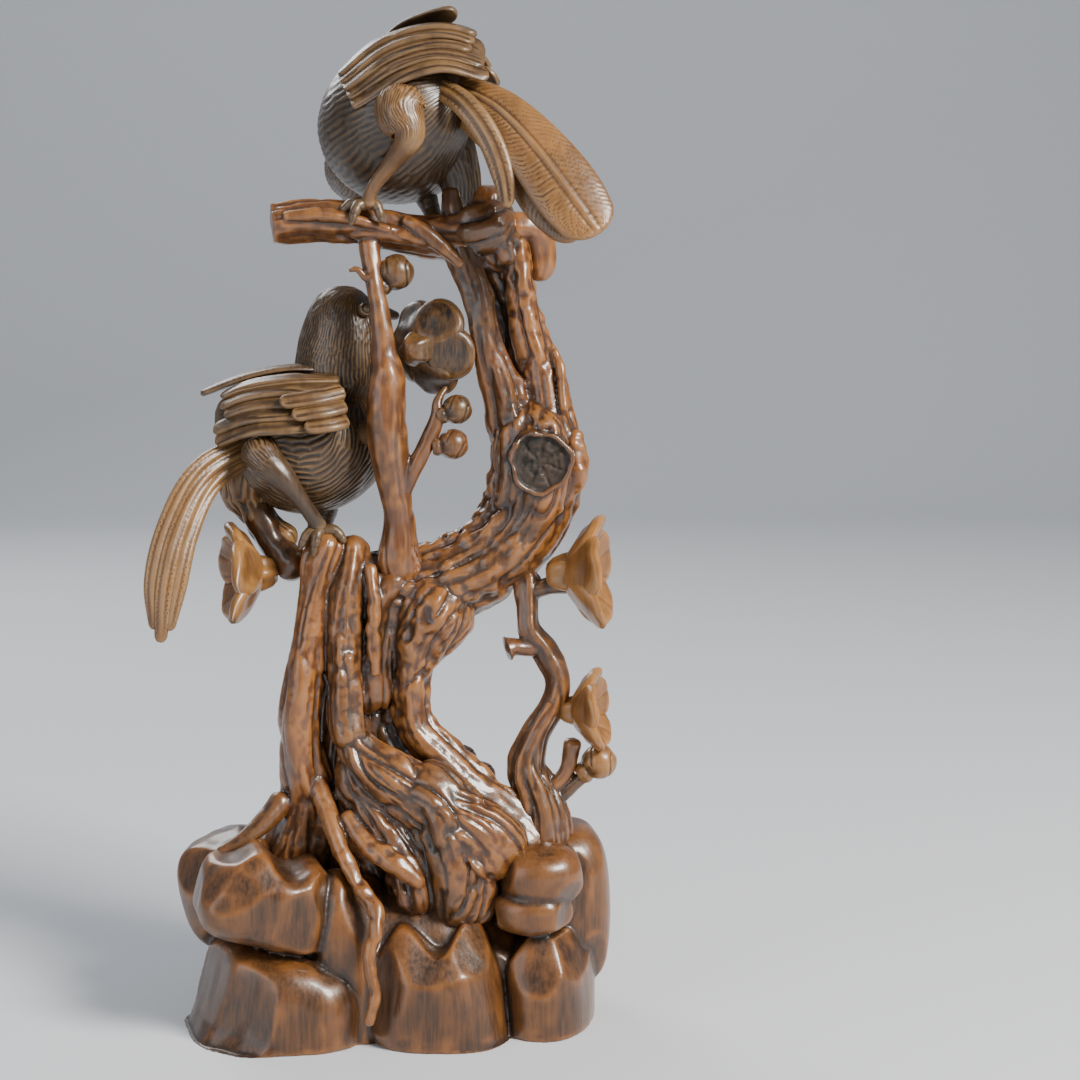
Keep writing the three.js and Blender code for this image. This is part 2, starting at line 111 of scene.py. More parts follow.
def smooth_path(points, spacing):
    """Rows of (x, y, z, half width, half thickness) on a smooth curve, spacing apart. Each stretch is the cubic
    that leaves and meets its points at the slope of the parabola through their neighbours."""
    rows = np.array([[*p, p[3]] if len(p) == 4 else p for p in points], float)
    knots = np.append(0, np.cumsum(np.sqrt(np.linalg.norm(np.diff(rows[:, :3], axis=0), axis=1))))
    slopes = np.gradient(rows, knots, axis=0, edge_order=1)
    t = np.linspace(0, knots[-1], 60 * len(rows))
    k = np.clip(np.searchsorted(knots, t, side="right") - 1, 0, len(rows) - 2)
    gap = (knots[k + 1] - knots[k])[:, None]
    u = (t - knots[k])[:, None] / gap
    curve = (
        (2 * u**3 - 3 * u**2 + 1) * rows[k] + (u**3 - 2 * u**2 + u) * gap * slopes[k]
        + (3 * u**2 - 2 * u**3) * rows[k + 1] + (u**3 - u**2) * gap * slopes[k + 1]
    )
    run = np.append(0, np.cumsum(np.linalg.norm(np.diff(curve[:, :3], axis=0), axis=1)))
    steps = max(5, int(run[-1] / spacing))
    at = np.linspace(0, run[-1], steps)
    path = np.stack([np.interp(at, run, column) for column in curve.T], axis=1)
    path[:, 3:] = np.maximum(path[:, 3:], 0.05)
    return path, at


def skin(path, outline, face, cup=0.0):
    """The grid of an outline of (across, out) shares carried along the path. Across is along x face, and out is
    across x along. A cup bends both edges back by cup x sideways^2 / width."""
    centre, width, thick = path[:, None, :3], path[:, 3, None, None], path[:, 4, None, None]
    along = unit(np.gradient(path[:, :3], axis=0))
    across = unit(np.cross(along, np.asarray(face, float)))
    out = np.cross(across, along)
    sideways = width * outline[..., :1]
    outwards = thick * outline[..., 1:] - cup * sideways**2 / width
    return centre + across[:, None] * sideways + out[:, None] * outwards


def round_ends(at, reach_start, reach_end):
    """The share of the full width at each row: a quarter circle over the reach at either end."""
    start = np.clip(1 - at / max(reach_start, 1e-6), 0, 1)
    end = np.clip(1 - (at[-1] - at) / max(reach_end, 1e-6), 0, 1)
    return np.sqrt(np.clip(1 - np.maximum(start, end) ** 2, 0.0004, 1))


path, at = smooth_path([[0, 0, 0, 2], [0, 0, 10, 3], [4, 0, 20, 1]], 0.5)
print("a path of", len(path), "rows and", round(at[-1], 1), "mm")

# %% [markdown]
# ## From grids to one mesh
# A grid becomes a closed skin: four-sided faces between the rows, round and round, and a fan of triangles to one
# point at either end. Faces have to point outwards. The sign of the volume inside tells whether they do.

# %% Closed skins


def closed_skin(grid, **values):
    """Vertices, quads, triangles and values per vertex of a grid of rings whose ends are closed by a fan each."""
    rows, columns = grid.shape[:2]
    points = np.concatenate([grid.reshape(-1, 3), grid[:1].mean(axis=1), grid[-1:].mean(axis=1)])
    first = np.arange(rows * columns).reshape(rows, columns)
    turned = np.roll(first, -1, axis=1)
    quads = np.stack([first[:-1], turned[:-1], turned[1:], first[1:]], axis=-1).reshape(-1, 4)
    low, high = rows * columns, rows * columns + 1
    start = np.stack([turned[0], first[0], np.full(columns, low)], axis=-1)
    end = np.stack([first[-1], turned[-1], np.full(columns, high)], axis=-1)
    triangles = np.concatenate([start, end])
    a, b, c = (points[quads[:, i]] for i in (0, 1, 2))
    d = points[quads[:, 3]]
    volume = (np.cross(a, b) * c).sum() + (np.cross(a, c) * d).sum()
    if volume < 0:
        quads, triangles = quads[:, ::-1], triangles[:, ::-1]
    spread = {}
    for name, value in values.items():
        flat = np.broadcast_to(value, (rows, columns)).reshape(-1)
        spread[name] = np.concatenate([flat, flat[:1], flat[-1:]])
    return {"points": points, "quads": quads, "triangles": triangles, "values": spread}


def joined_mesh(name, skins):
    """One mesh of several closed skins: their corner numbers are shifted by the points that come before."""
    data = bpy.data.meshes.new(name)
    offsets = np.append(0, np.cumsum([len(s["points"]) for s in skins]))
    points = np.concatenate([s["points"] for s in skins]) * MM
    quads = np.concatenate([s["quads"] + o for s, o in zip(skins, offsets)])
    triangles = np.concatenate([s["triangles"] + o for s, o in zip(skins, offsets)])
    corners = np.concatenate([quads.ravel(), triangles.ravel()]).astype(np.int32)
    starts = np.append(np.arange(len(quads)) * 4, len(quads) * 4 + np.arange(len(triangles)) * 3)
    data.vertices.add(len(points))
    data.vertices.foreach_set("co", points.astype(np.float32).ravel())
    data.loops.add(len(corners))
    data.loops.foreach_set("vertex_index", corners)
    data.polygons.add(len(starts))
    data.polygons.foreach_set("loop_start", starts.astype(np.int32))
    data.update(calc_edges=True)
    for value in sorted({key for s in skins for key in s["values"]}):
        column = [s["values"].get(value, np.zeros(len(s["points"]))) for s in skins]
        layer = data.attributes.new(value, "FLOAT", "POINT")
        layer.data.foreach_set("value", np.concatenate(column).astype(np.float32))
    piece = bpy.data.objects.new(name, data)
    bpy.context.scene.collection.objects.link(piece)
    return piece


def read_points(piece):
    """A piece's points in millimetres, as one array."""
    flat = np.empty(len(piece.data.vertices) * 3, np.float32)
    piece.data.vertices.foreach_get("co", flat)
    return flat.reshape(-1, 3).astype(float) / MM


def read_edges(piece):
    """The two point numbers of every edge."""
    flat = np.empty(len(piece.data.edges) * 2, np.int32)
    piece.data.edges.foreach_get("vertices", flat)
    return flat.reshape(-1, 2)


def relaxed(points, edges, rounds, share=0.6):
    """The points after each has moved by a share of the way to the mean of its neighbours, round by round."""
    count = np.bincount(edges.ravel(), minlength=len(points))[:, None]
    for _ in range(rounds):
        pull = np.zeros_like(points)
        for axis in range(3):
            both = np.concatenate([points[edges[:, 1], axis], points[edges[:, 0], axis]])
            to = np.concatenate([edges[:, 0], edges[:, 1]])
            pull[:, axis] = np.bincount(to, both, minlength=len(points))
        points = points + share * (pull / np.maximum(count, 1) - points)
    return points


def write_points(piece, points):
    """Puts points in millimetres back into a piece."""
    piece.data.vertices.foreach_set("co", (points * MM).astype(np.float32).ravel())
    piece.data.update()


def triangle_count(piece):
    """How many triangles the faces of a piece make."""
    return len(piece.data.loops) - 2 * len(piece.data.polygons)


# %% [markdown]
# ## Fusing
# Where boughs leave a trunk, wood flows from one into the other. The limbs are made one by one, and then a
# voxel remesh melts them into one skin, as if they had been carved from one block. A few rounds of smoothing
# take the steps out, and Decimate spends the faces where the relief is.

# %% Melt skins into one


def thinned(piece, most):
    """Decimate spends a piece's triangles where its relief is, down to the most that the piece may have."""
    made = triangle_count(piece)
    if made > most:
        modifier = piece.modifiers.new("fewer faces", "DECIMATE")
        modifier.ratio = 0.985 * most / made
        graph = bpy.context.evaluated_depsgraph_get()
        fewer = bpy.data.meshes.new_from_object(piece.evaluated_get(graph))
        piece.modifiers.clear()
        piece.data = fewer
    print(f"{piece.name}: {made} triangles made, {triangle_count(piece)} kept")
    return piece


def fused(name, skins, voxel, rounds, most, texture=None):
    """One skin around all the given ones: voxel remesh, smoothing, a texture along the normals, and thinning."""
    piece = joined_mesh(name, skins)
    for other in bpy.context.selected_objects:
        other.select_set(False)
    piece.select_set(True)
    bpy.context.view_layer.objects.active = piece
    piece.data.remesh_voxel_size = voxel * MM
    piece.data.use_remesh_preserve_attributes = True
    bpy.ops.object.voxel_remesh()
    points, edges = read_points(piece), read_edges(piece)
    points = relaxed(points, edges, rounds)
    write_points(piece, points)
    if texture is not None:
        normals = np.empty(len(points) * 3, np.float32)
        piece.data.vertex_normals.foreach_get("vector", normals)
        points = points + normals.reshape(-1, 3) * texture(points, normals.reshape(-1, 3))[:, None]
        write_points(piece, points)
    return thinned(piece, most)


# %% [markdown]
# ## The rock
# The base is carved as weathered boulders with steep walls and softly rounded shoulders. A boulder is a ball
# that is squared off: raising the cosine and sine of its angles to a power below 1 pushes it out towards a
# block. Long shallow flutes and a few dents are what water would have cut.

# %% Boulders
ROCK_WIDTH = 82
ROCK_DEPTH = 57
BOULDER_GRID = (110, 150)


def turned(grid, turn, tip, lean):
    """A grid tipped about y, then leaned about x, then turned about z, all in degrees."""
    a, b, c = (math.radians(angle) for angle in (tip, lean, turn))
    about_y = np.array([[math.cos(a), 0, math.sin(a)], [0, 1, 0], [-math.sin(a), 0, math.cos(a)]])
    about_x = np.array([[1, 0, 0], [0, math.cos(b), -math.sin(b)], [0, math.sin(b), math.cos(b)]])
    about_z = np.array([[math.cos(c), -math.sin(c), 0], [math.sin(c), math.cos(c), 0], [0, 0, 1]])
    return grid @ (about_z @ about_x @ about_y).T


def facetted(grid, count, share, seed):
    """Flat places: whatever stands beyond a plane is pressed back onto it. The planes look in random directions,
    each set at a share of the form's reach that way."""
    for direction in unit(np.random.default_rng(seed).normal(size=(count, 3)) * [1, 1, 0.7]):
        beyond = grid @ direction
        grid = grid - np.maximum(beyond - share * beyond.max(), 0)[..., None] * direction * 0.85
    return grid


def boulder(centre, size, turn=0, tip=0, lean=0, waves=0.0, plan=0.75, profile=0.6, crest=None, seed=0, flats=9):
    """A squared ball: x and y are the signed powers of cosine and sine of the bearing times the sine of the
    height angle, and z is the signed power of its cosine. A crest is a wave along its top."""
    rows, columns = BOULDER_GRID
    down = np.linspace(0.004, np.pi - 0.004, rows)[:, None]
    bearing = np.linspace(0, 2 * np.pi, columns, endpoint=False)[None]
    squared = lambda value, power: np.sign(value) * np.abs(value) ** power
    reach = np.sin(down) ** profile * (1 + waves * np.sin(3 * bearing))
    x = squared(np.cos(bearing), plan) * reach
    y = squared(np.sin(bearing), plan) * reach
    z = np.broadcast_to(squared(np.cos(down), profile), x.shape)
    grid = np.stack([x, y, z], axis=-1) * np.array(size)
    if crest is not None:
        lift, wave, start = crest
        upper = np.clip(grid[..., 2] / size[2], 0, 1) ** 3
        grid[..., 2] += lift * upper * np.cos(2 * np.pi * (grid[..., 0] - start) / wave)
    grid = facetted(grid, flats, 0.88, seed + 50)
    gx, gy, gz = np.moveaxis(grid, -1, 0)
    dents = 0.8 * noise(gx / 7.5, gy / 7.5, gz / 16, seed + 3) + 0.25 * noise(gx / 3.2, gy / 3.2, gz / 14, seed)
    grid = grid * (1 + 0.9 * dents / max(size))[..., None]
    return closed_skin(turned(grid, turn, tip, lean) + np.array(centre))


upright = {"plan": 0.8, "profile": 0.4, "waves": 0.03}
boulders = [
    boulder([0, 3, 6], [ROCK_WIDTH * 0.42, ROCK_DEPTH * 0.4, 23]),
    boulder([-22.3, -8.5, -2], [18.5, 18.5, 19], **upright, turn=8, tip=8, seed=1),
    boulder([-9.5, -10.5, 8], [8, 12, 25], seed=2),
    boulder([8, -16, 0], [13.8, 12, 20.5], **upright, turn=-6, tip=-8, crest=(2.6, 13.5, -3.5), seed=3, flats=5),
    boulder([30, -9.5, -1], [8.8, 13, 21], **upright, turn=-15, seed=4),
    boulder([-25.5, -14.5, 27.5], [13.6, 11.5, 8.6], plan=0.6, turn=10, tip=15, crest=(1.7, 12, -4), seed=5),
    boulder([-31.5, 5, 25], [11, 14, 11.5], turn=-15, tip=-14, seed=6),
    boulder([28.6, -14, 31.5], [8.6, 8.5, 6.4], plan=0.9, profile=0.8, seed=7, flats=4),
    boulder([27, -14.5, 24.8], [8, 8.4, 4.6], plan=0.9, profile=0.7, seed=17, flats=4),
    boulder([34, 0, 22], [8.8, 12, 16.5], turn=10, seed=8),
    boulder([13, 14, 10], [17, 14, 19], **upright, turn=15, tip=6, seed=9),
    boulder([-15, 15, 10], [16, 13, 18], **upright, turn=-12, tip=-8, seed=10),
]
print(len(boulders), "boulders")

# %% [markdown]
# ## The old trunk
# Each limb is a path with a fluted, knotty bark. The bark is noise read in the limb's own coordinates, drawn out
# along it, so that ridges run with the wood. A bell curve of the noise cuts a groove wherever it changes sign,
# which reads as cords of bark with dark valleys between.

# %% Limbs with bark
VIEWER = (0, -1, 0)
UP = (0, 0, 1)


def bark(along, sideways, outwards, size, seed):
    """How far bark stands out, in mm: deep and fine grooves where drawn-out noise changes sign, low swells
    between them, and knobs in places."""
    deep = groove(noise(sideways / 3.4, outwards / 3.4, along / 15, seed), 0.15)
    fine = groove(noise(sideways / 1.5, outwards / 1.5, along / 8, seed + 5), 0.24)
    swell = noise(sideways / 3.6, outwards / 3.6, along / 8, seed + 7)
    knobs = noise(sideways / 2.2, outwards / 2.2, along / 3.0, seed + 9)
    where = np.clip(2.5 * noise(sideways / 9, outwards / 9, along / 14, seed + 2), 0, 1)
    strength = np.clip(size / 6, 0.3, 1)
    return strength * (0.55 * swell - 0.75 * deep - 0.3 * fine + 0.55 * where * np.clip(knobs, -0.2, 1))


def limb(points, face=VIEWER, flutes=0.0, turns=1.5, sawn_start=False, sawn_end=False, rough=1.0, seed=0, tone=0.0):
    """A limb of bark along a path: a round section, four flutes that turn with it, and bark along its normal."""
    path, at = smooth_path(points, 0.4)
    widest = path[:, 3].max()
    angle = np.linspace(0, 2 * np.pi, max(26, int(2 * np.pi * widest / 0.4)), endpoint=False)[None]
    ends = round_ends(at, 0 if sawn_start else 0.9 * path[0, 3], 0 if sawn_end else 0.9 * path[-1, 3])[:, None]
    along = at[:, None]
    fluted = 1 + flutes * np.cos(4 * angle + turns * along / at[-1])
    cos, sin = np.cos(angle) * fluted, np.sin(angle) * fluted
    width, thick = path[:, 3, None], path[:, 4, None]
    relief = rough * bark(along + 40 * seed, width * cos, thick * sin, width, seed) * ends
    cos = cos * (ends + relief / width)
    sin = sin * (ends + relief / thick)
    grid = skin(path, np.stack([cos, sin], axis=-1), face)
    return closed_skin(grid, tone=tone)


flute = {"flutes": 0.07}
cord = {"rough": 0.4, "tone": 0.5}
trunk = [
    limb([[-11.8, -3, 98.2, 3.1], [-13.7, -4, 93.7, 3.9], [-15.5, -5, 86.1, 3.1], [-16.7, -6, 77.7, 3.4],
          [-17.9, -7, 70.2, 3.9], [-18.9, -7, 62.4, 4.2], [-18.4, -6, 54.3, 4.4], [-17.3, -4, 46, 5.2],
          [-19.1, -1, 37.3, 6.2], [-22, 0, 24, 8]], **flute, seed=1, tone=1.0),
    limb([[-7.6, -2, 97.5, 3.1], [-8.2, -3, 92, 3.6], [-9.5, -6, 85.4, 3.5], [-9.8, -7, 77.8, 3.6],
          [-9.9, -8, 70.2, 3.7], [-9.7, -9, 62.7, 3.7], [-8.3, -10, 55.8, 4.2]], **flute, seed=2, tone=0.3),
    limb([[-4.7, -6, 92.3, 1.3], [-4, -8.4, 85.7, 1.3], [-4, -9.4, 78, 1.2], [-3.9, -9.4, 70.2, 0.9]],
         **cord, seed=28),
    limb([[2, -2, 90, 4.5], [-2.5, -4, 85, 4.2], [-3.5, -4.5, 78, 4], [-4.5, -4, 70, 4.2], [-5, -4, 62, 4.5]],
         **flute, seed=40),
    limb([[-9.8, -9, 60, 2.9], [-5.6, -10.2, 54.2, 4.7], [0.9, -12, 49.1, 5.8], [8.1, -13, 44.2, 6.8],
          [15.7, -13.5, 39.1, 7.4], [21.5, -12.5, 31, 7.5]], **flute, seed=3, rough=1.2, tone=0.4),
    limb([[2, -9, 50, 6], [7.3, -12, 46.4, 6.8], [10.9, -13, 38.3, 8], [12.7, -13.5, 29.8, 7.8],
          [10.8, -14, 21, 5.8]], **flute, seed=29, rough=1.2, tone=0.2),
    limb([[-10, -7, 54, 3], [-7.4, -9, 47.8, 4.2], [-1, -11, 39.7, 5.2], [3.5, -12.5, 31.6, 6], [5.3, -13.5, 23.3, 5.8]],
         **flute, seed=30, rough=1.2),
    limb([[-10.2, -11.5, 43.9, 1.7], [-5.6, -15, 38, 2.2], [-0.1, -17.2, 34.8, 2.4], [5.3, -18.6, 30.4, 1.3]],
         **cord, seed=31),
    limb([[11.6, -1, 88.4, 8.5], [7.7, -2, 82.3, 8.5], [4.7, -3, 76.2, 6.7], [3.4, -4, 70.1, 4.4],
          [3, -4.5, 64.7, 3.8], [4.1, -5, 59.3, 4], [9, -6, 53.9, 4.2], [14.4, -7, 48.6, 4.5], [20.6, -7.5, 42.9, 5],
          [29, -8, 33, 7]], **flute, seed=4, tone=0.5),
    limb([[0, 3, 72, 5], [-1, 2, 62, 5.5], [3, 0, 52, 6.5], [12, -3, 42, 8], [20, -6, 30, 8]], seed=32),
    limb([[-16.7, -6, 50, 2.4], [-13.8, -10, 44.5, 2], [-11.8, -14, 39.7, 1.8], [-9.7, -17, 34.8, 1.6],
          [-6.5, -20, 30.4, 1.5], [-4, -22.5, 26.9, 1.5], [-4, -24.5, 23.3, 1.4], [-5.3, -26, 19.6, 1.3],
          [-5, -27.2, 15.5, 1.2], [-4.3, -28, 12, 1.1], [-5.8, -28, 6, 1]], seed=5, rough=0.7, tone=1.0),
    limb([[-21.5, -5, 46, 2.8], [-25.5, -8, 41.7, 2.1], [-30.5, -10.5, 38, 1.6], [-35.1, -11.5, 35.6, 1.2]],
         seed=33, rough=0.6),
    limb([[-8, 3, 92, 8, 6], [-9.5, 3, 74, 9.2, 7.5], [-8, 4, 54, 11.6, 10], [-3, 6, 36, 18, 14],
          [0, 6, 20, 24, 18]], **flute, seed=6),
    limb([[-12, -1, 88, 6.5], [3, 1, 86.5, 8], [12, 1, 88.5, 8.6], [20, 1, 93, 8.6], [26, 1, 100, 8.6],
          [28.2, 0, 108, 9.2], [28, 0, 116, 8.8], [27, 0, 124, 6]], flutes=0.05, seed=8, rough=1.2, tone=0.4),
    limb([[29.4, 0, 113, 6.6], [30.4, 0.2, 117, 6.2], [30.4, 0.7, 122.5, 4.9], [29.6, 1.2, 128.9, 4.3],
          [27.6, 1.7, 135.3, 3.9], [26.2, 2.2, 141, 3.4], [25.4, 2.4, 146.1, 3.1], [25, 2.8, 151.2, 2.8],
          [24.6, 3, 156.5, 2.8]], **flute, seed=9, rough=0.8, tone=0.6),
    limb([[23.6, 0, 114, 5.6], [22.4, -1, 122.7, 4.4], [20.5, -1.5, 129.1, 3.8], [18.6, -2, 135.4, 3.1],
          [17.4, -2, 141.1, 2.8], [16.1, -1.5, 146.1, 3.1], [14.5, -1, 150.2, 3.5], [12.7, 0, 155.5, 4]],
         **flute, seed=10, rough=1.2),
    limb([[27, 4, 119, 5.6], [25.5, 6, 131, 5.2], [23.5, 7, 142, 5], [20.5, 6.5, 150, 5], [18, 4, 157, 5]],
         seed=11),
    limb([[21.7, 3.4, 149, 4.4], [20.4, 3, 156.2, 5.8], [19.6, 3, 161.3, 5.4], [20, 4, 166, 3.6]], seed=34),
    limb([[12, 1, 156.5, 5], [18, 0, 157.5, 5.4], [23, 2, 161, 4.2]], seed=12),
    limb([[31.8, -1.5, 134.5, 0.6], [33, -3, 130.4, 0.9], [33.2, -4, 126, 0.9], [33.6, -5, 121.6, 0.9]],
         **cord, seed=35),
    limb([[36, -2.5, 118, 1.4], [36, -3.6, 112.6, 2.4], [35.4, -3, 108.7, 2.4], [33.6, -2, 104.2, 2]], seed=36,
         rough=0.6, tone=1.0),
]
print(len(trunk), "trunk limbs")

# %% [markdown]
# ## Boughs, stem and shoots
# The thinner wood is smoother, because a carver cleans it with a file. The bough under the upper bird and the
# knot on the trunk are sawn flat, and the knot's face shows cracked rings inside a raised rim.

# %% Boughs
KNOT = (28.6, -11, 112.2)
KNOT_RADIUS = 6.2


def knot_face():
    """The sawn knot: a short round stub whose rows run out along its side, then in over its face. A ring is a
    groove of constant radius, a crack one of constant bearing, and noise makes both wander."""
    share = np.linspace(1, 0.01, 46)[:, None]
    angle = np.linspace(0, 2 * np.pi, 170, endpoint=False)[None]
    rim = KNOT_RADIUS * (1 + 0.05 * np.sin(3 * angle + 1) + 0.03 * np.sin(7 * angle))
    side_y = np.linspace(11, 0.4, 20)[:, None]
    side = np.stack(np.broadcast_arrays(np.cos(angle) * rim, side_y, np.sin(angle) * rim), axis=-1)
    radius = share * rim
    across, upward = np.cos(angle) * radius, np.sin(angle) * radius
    wobble = noise(across / 1.6, upward / 1.6, 0.5)
    rings = groove(np.sin(radius * 2.6 + wobble * 2.2), 0.35)
    cracks = groove(np.sin(angle * 3.5 + 1.1 + 0.8 * wobble), 0.14 / np.maximum(share, 0.15))
    inside = np.clip((0.9 - share) / 0.1, 0, 1)
    depth = inside * (0.7 + 0.3 * rings + 0.55 * cracks + 0.25 * noise(across / 1.1, upward / 1.1, 3.5))
    face = np.stack([across, depth, upward], axis=-1)
    grid = np.concatenate([side, face]) + np.array(KNOT)
    scorched = np.concatenate([np.zeros((20, 170)), np.broadcast_to(inside, face.shape[:2])])
    return closed_skin(grid, scorch=scorched)


smooth = {"rough": 0.45}
knot_and_lumps = [
    knot_face(),
    limb([[29, 0, 114, 5], [33.5, 0, 110, 4.2], [35.5, 1, 106.5, 2.6]], seed=14),
]
boughs = [
    limb([[-23.5, -1, 158, 3.9], [-15, 0, 158.8, 4.1], [-7, 0, 158.2, 4], [0.5, 0, 157, 4], [8, 0, 155.8, 4.3],
          [17, 2, 156, 6]], **flute, sawn_start=True, seed=13, tone=0.6),
    limb([[-21, -4.2, 159.5, 1], [-14, -4.4, 160, 1.4], [-7, -4, 159, 1.1], [0, -3.8, 157, 0.8]], **cord, seed=37),
    limb([[2, -3, 159.5, 1], [6, -3.4, 157, 1.6], [10, -3.8, 153.6, 1.5], [14, -3.6, 150, 1]], **cord, seed=38),
    limb([[22, 3, 158, 3.4], [28.1, 4, 157, 3], [29.8, 5, 153, 3], [29.6, 5, 149.6, 2.6], [28.4, 5, 147.2, 1.6]],
         **smooth, seed=15, tone=1.0),
    limb([[14, 2, 155, 4.5], [12.8, 2, 161.5, 3], [12, 3, 166, 2.4]], seed=16),
    limb([[1.2, -1.5, 88, 6.4], [1, -3, 92.5, 4.7], [1, -4, 100.5, 3.1], [0, -5, 108.5, 3.4], [-1, -6, 116.5, 4],
          [-1.3, -6, 124, 4], [-1, -5.7, 129.5, 3.4], [-1.7, -5.3, 133, 2.5], [-2, -5, 138, 2.1],
          [-3, -4, 145.5, 1.9], [-4, -2.5, 151, 2], [-4.5, -1, 156, 2.4]], **smooth, seed=17, tone=0.5),
    limb([[0.4, -5, 103.5, 2.2], [2.5, -5.4, 107.8, 1.8], [4.7, -6, 112.3, 1.7], [7, -6, 116.7, 1.7],
          [8.6, -6, 121.1, 1.4], [8.8, -5.6, 124, 1], [10.6, -4.6, 127, 0.5]], **smooth, seed=18),
    limb([[-3.4, -4.4, 148.4, 1.2], [-5, -4.4, 147.8, 0.9], [-6.8, -4.4, 149.6, 0.8], [-8.4, -4.2, 149.2, 0.4]],
         **smooth, seed=19),
    limb([[30, -6, 32, 7], [28, -6, 44, 5.2], [25.8, -6, 51.5, 3.9], [27.7, -6, 57.5, 3.1], [31.3, -5.5, 63.5, 2.7],
          [32.2, -5, 68.5, 2.5], [30, -4, 74, 2.7], [26.7, -4, 78.5, 2.5], [26.5, -3, 83, 2.3], [26.5, 0, 90, 3.2]],
         **flute, seed=20, tone=0.3),
    limb([[28, -8.8, 36, 1.2], [26, -9.6, 44, 1.3], [24.6, -9, 51, 1.1], [27, -8, 58, 0.9], [31, -7.4, 64.5, 0.8]],
         **cord, seed=39),
    limb([[29.5, -4, 75, 2.2], [26, -5, 75, 1.7], [23.4, -5.5, 75.2, 2], [21.8, -5.8, 74.8, 3]], sawn_end=True,
         **smooth, seed=21),
    limb([[26.5, -2, 85.5, 2], [31, -3, 87, 1.8], [35.5, -3, 87, 2]], **smooth, seed=22),
    limb([[30, -6, 43, 1.8], [34.5, -6, 46.5, 1.4], [38.5, -6, 50, 1.4]], **smooth, seed=23),
    limb([[30.5, -6, 46.5, 1.8], [33.6, -6, 49.5, 1.6], [35.5, -6, 57, 1.9]], **smooth, seed=24, tone=0.8),
    limb([[-30, 6, 111, 3], [-28, 6, 103, 3.4], [-24, 5, 95, 3], [-18, 2, 89, 4]], **smooth, seed=25),
    limb([[7, 0, 56, 3], [10, 8, 53, 2.4], [16, 13, 46, 2.4]], **smooth, seed=26),
    limb([[-6, 8, 57, 4], [-5.5, 15, 60.5, 2.6], [-5, 19, 62, 2.6]], **smooth, face=UP, seed=27),
]
print(len(boughs), "boughs and shoots")

# %% Melt the wood and the rock


def hammered(points, normals):
    """Small pits and bumps that the gouge leaves on old wood, strong where a wide noise says so and faint elsewhere."""
    x, y, z = points.T
    lumps = noise(x / 1.9, y / 1.9, z / 1.9, 31)
    where = np.clip(2.2 * noise(x / 9, y / 9, z / 9, 33), 0, 1)
    return 0.55 * where * lumps + 0.06 * noise(x / 0.9, y / 0.9, z / 0.9, 35)


def filed(points, normals):
    """Thin wood is cleaned with a file, so only shallow dents stay."""
    x, y, z = points.T
    return 0.14 * noise(x / 1.6, y / 1.6, z / 2.4, 36)


def worn(points, normals):
    """Water-worn stone: very shallow dents, and none on the underside."""
    x, y, z = points.T
    return 0.22 * noise(x / 4, y / 4, z / 8, 41) * np.clip(z / 2, 0, 1)


def cut_at_floor(skins):
    """Points below the floor are lifted onto it, which leaves every skin closed with a flat underside."""
    for s in skins:
        s["points"][:, 2] = np.maximum(s["points"][:, 2], 0)
    return skins


ROCK_FACES, TRUNK_FACES, BOUGH_FACES = 98000, 196000, 118000
rock = fused("carved_rock", cut_at_floor(boulders), 0.45, 3, ROCK_FACES, worn)
roots = fused("old_trunk", trunk + knot_and_lumps, 0.33, 1, TRUNK_FACES, hammered)
shoots = fused("plum_boughs", boughs, 0.3, 1, BOUGH_FACES, filed)

# %% [markdown]
# ## Feathers
# A feather is a thin blade. Down its middle runs the shaft, a raised line between two grooves, and from it the
# barbs leave at a slant on both sides. A barb is one period of a saw that depends on how far along the feather
# and how far from the shaft a point is, so the cuts make a herringbone.

# %% One feather
FEATHER = 1.6


def blade_outline(columns, flat=0.42):
    """A thin closed section: the front from its right edge to its left, then the back. The edge is rounded by
    the root of 1 - across^6, and the back is flatter than the front."""
    half = np.cos(np.linspace(0, np.pi, columns // 2, endpoint=False))
    across = np.concatenate([half, -half])
    edge = np.sqrt(np.clip(1 - np.abs(across) ** 6, 0, 1))
    side = np.repeat([1.0, -1.0], columns // 2)
    return across, side * edge * (1 - flat * (side < 0))


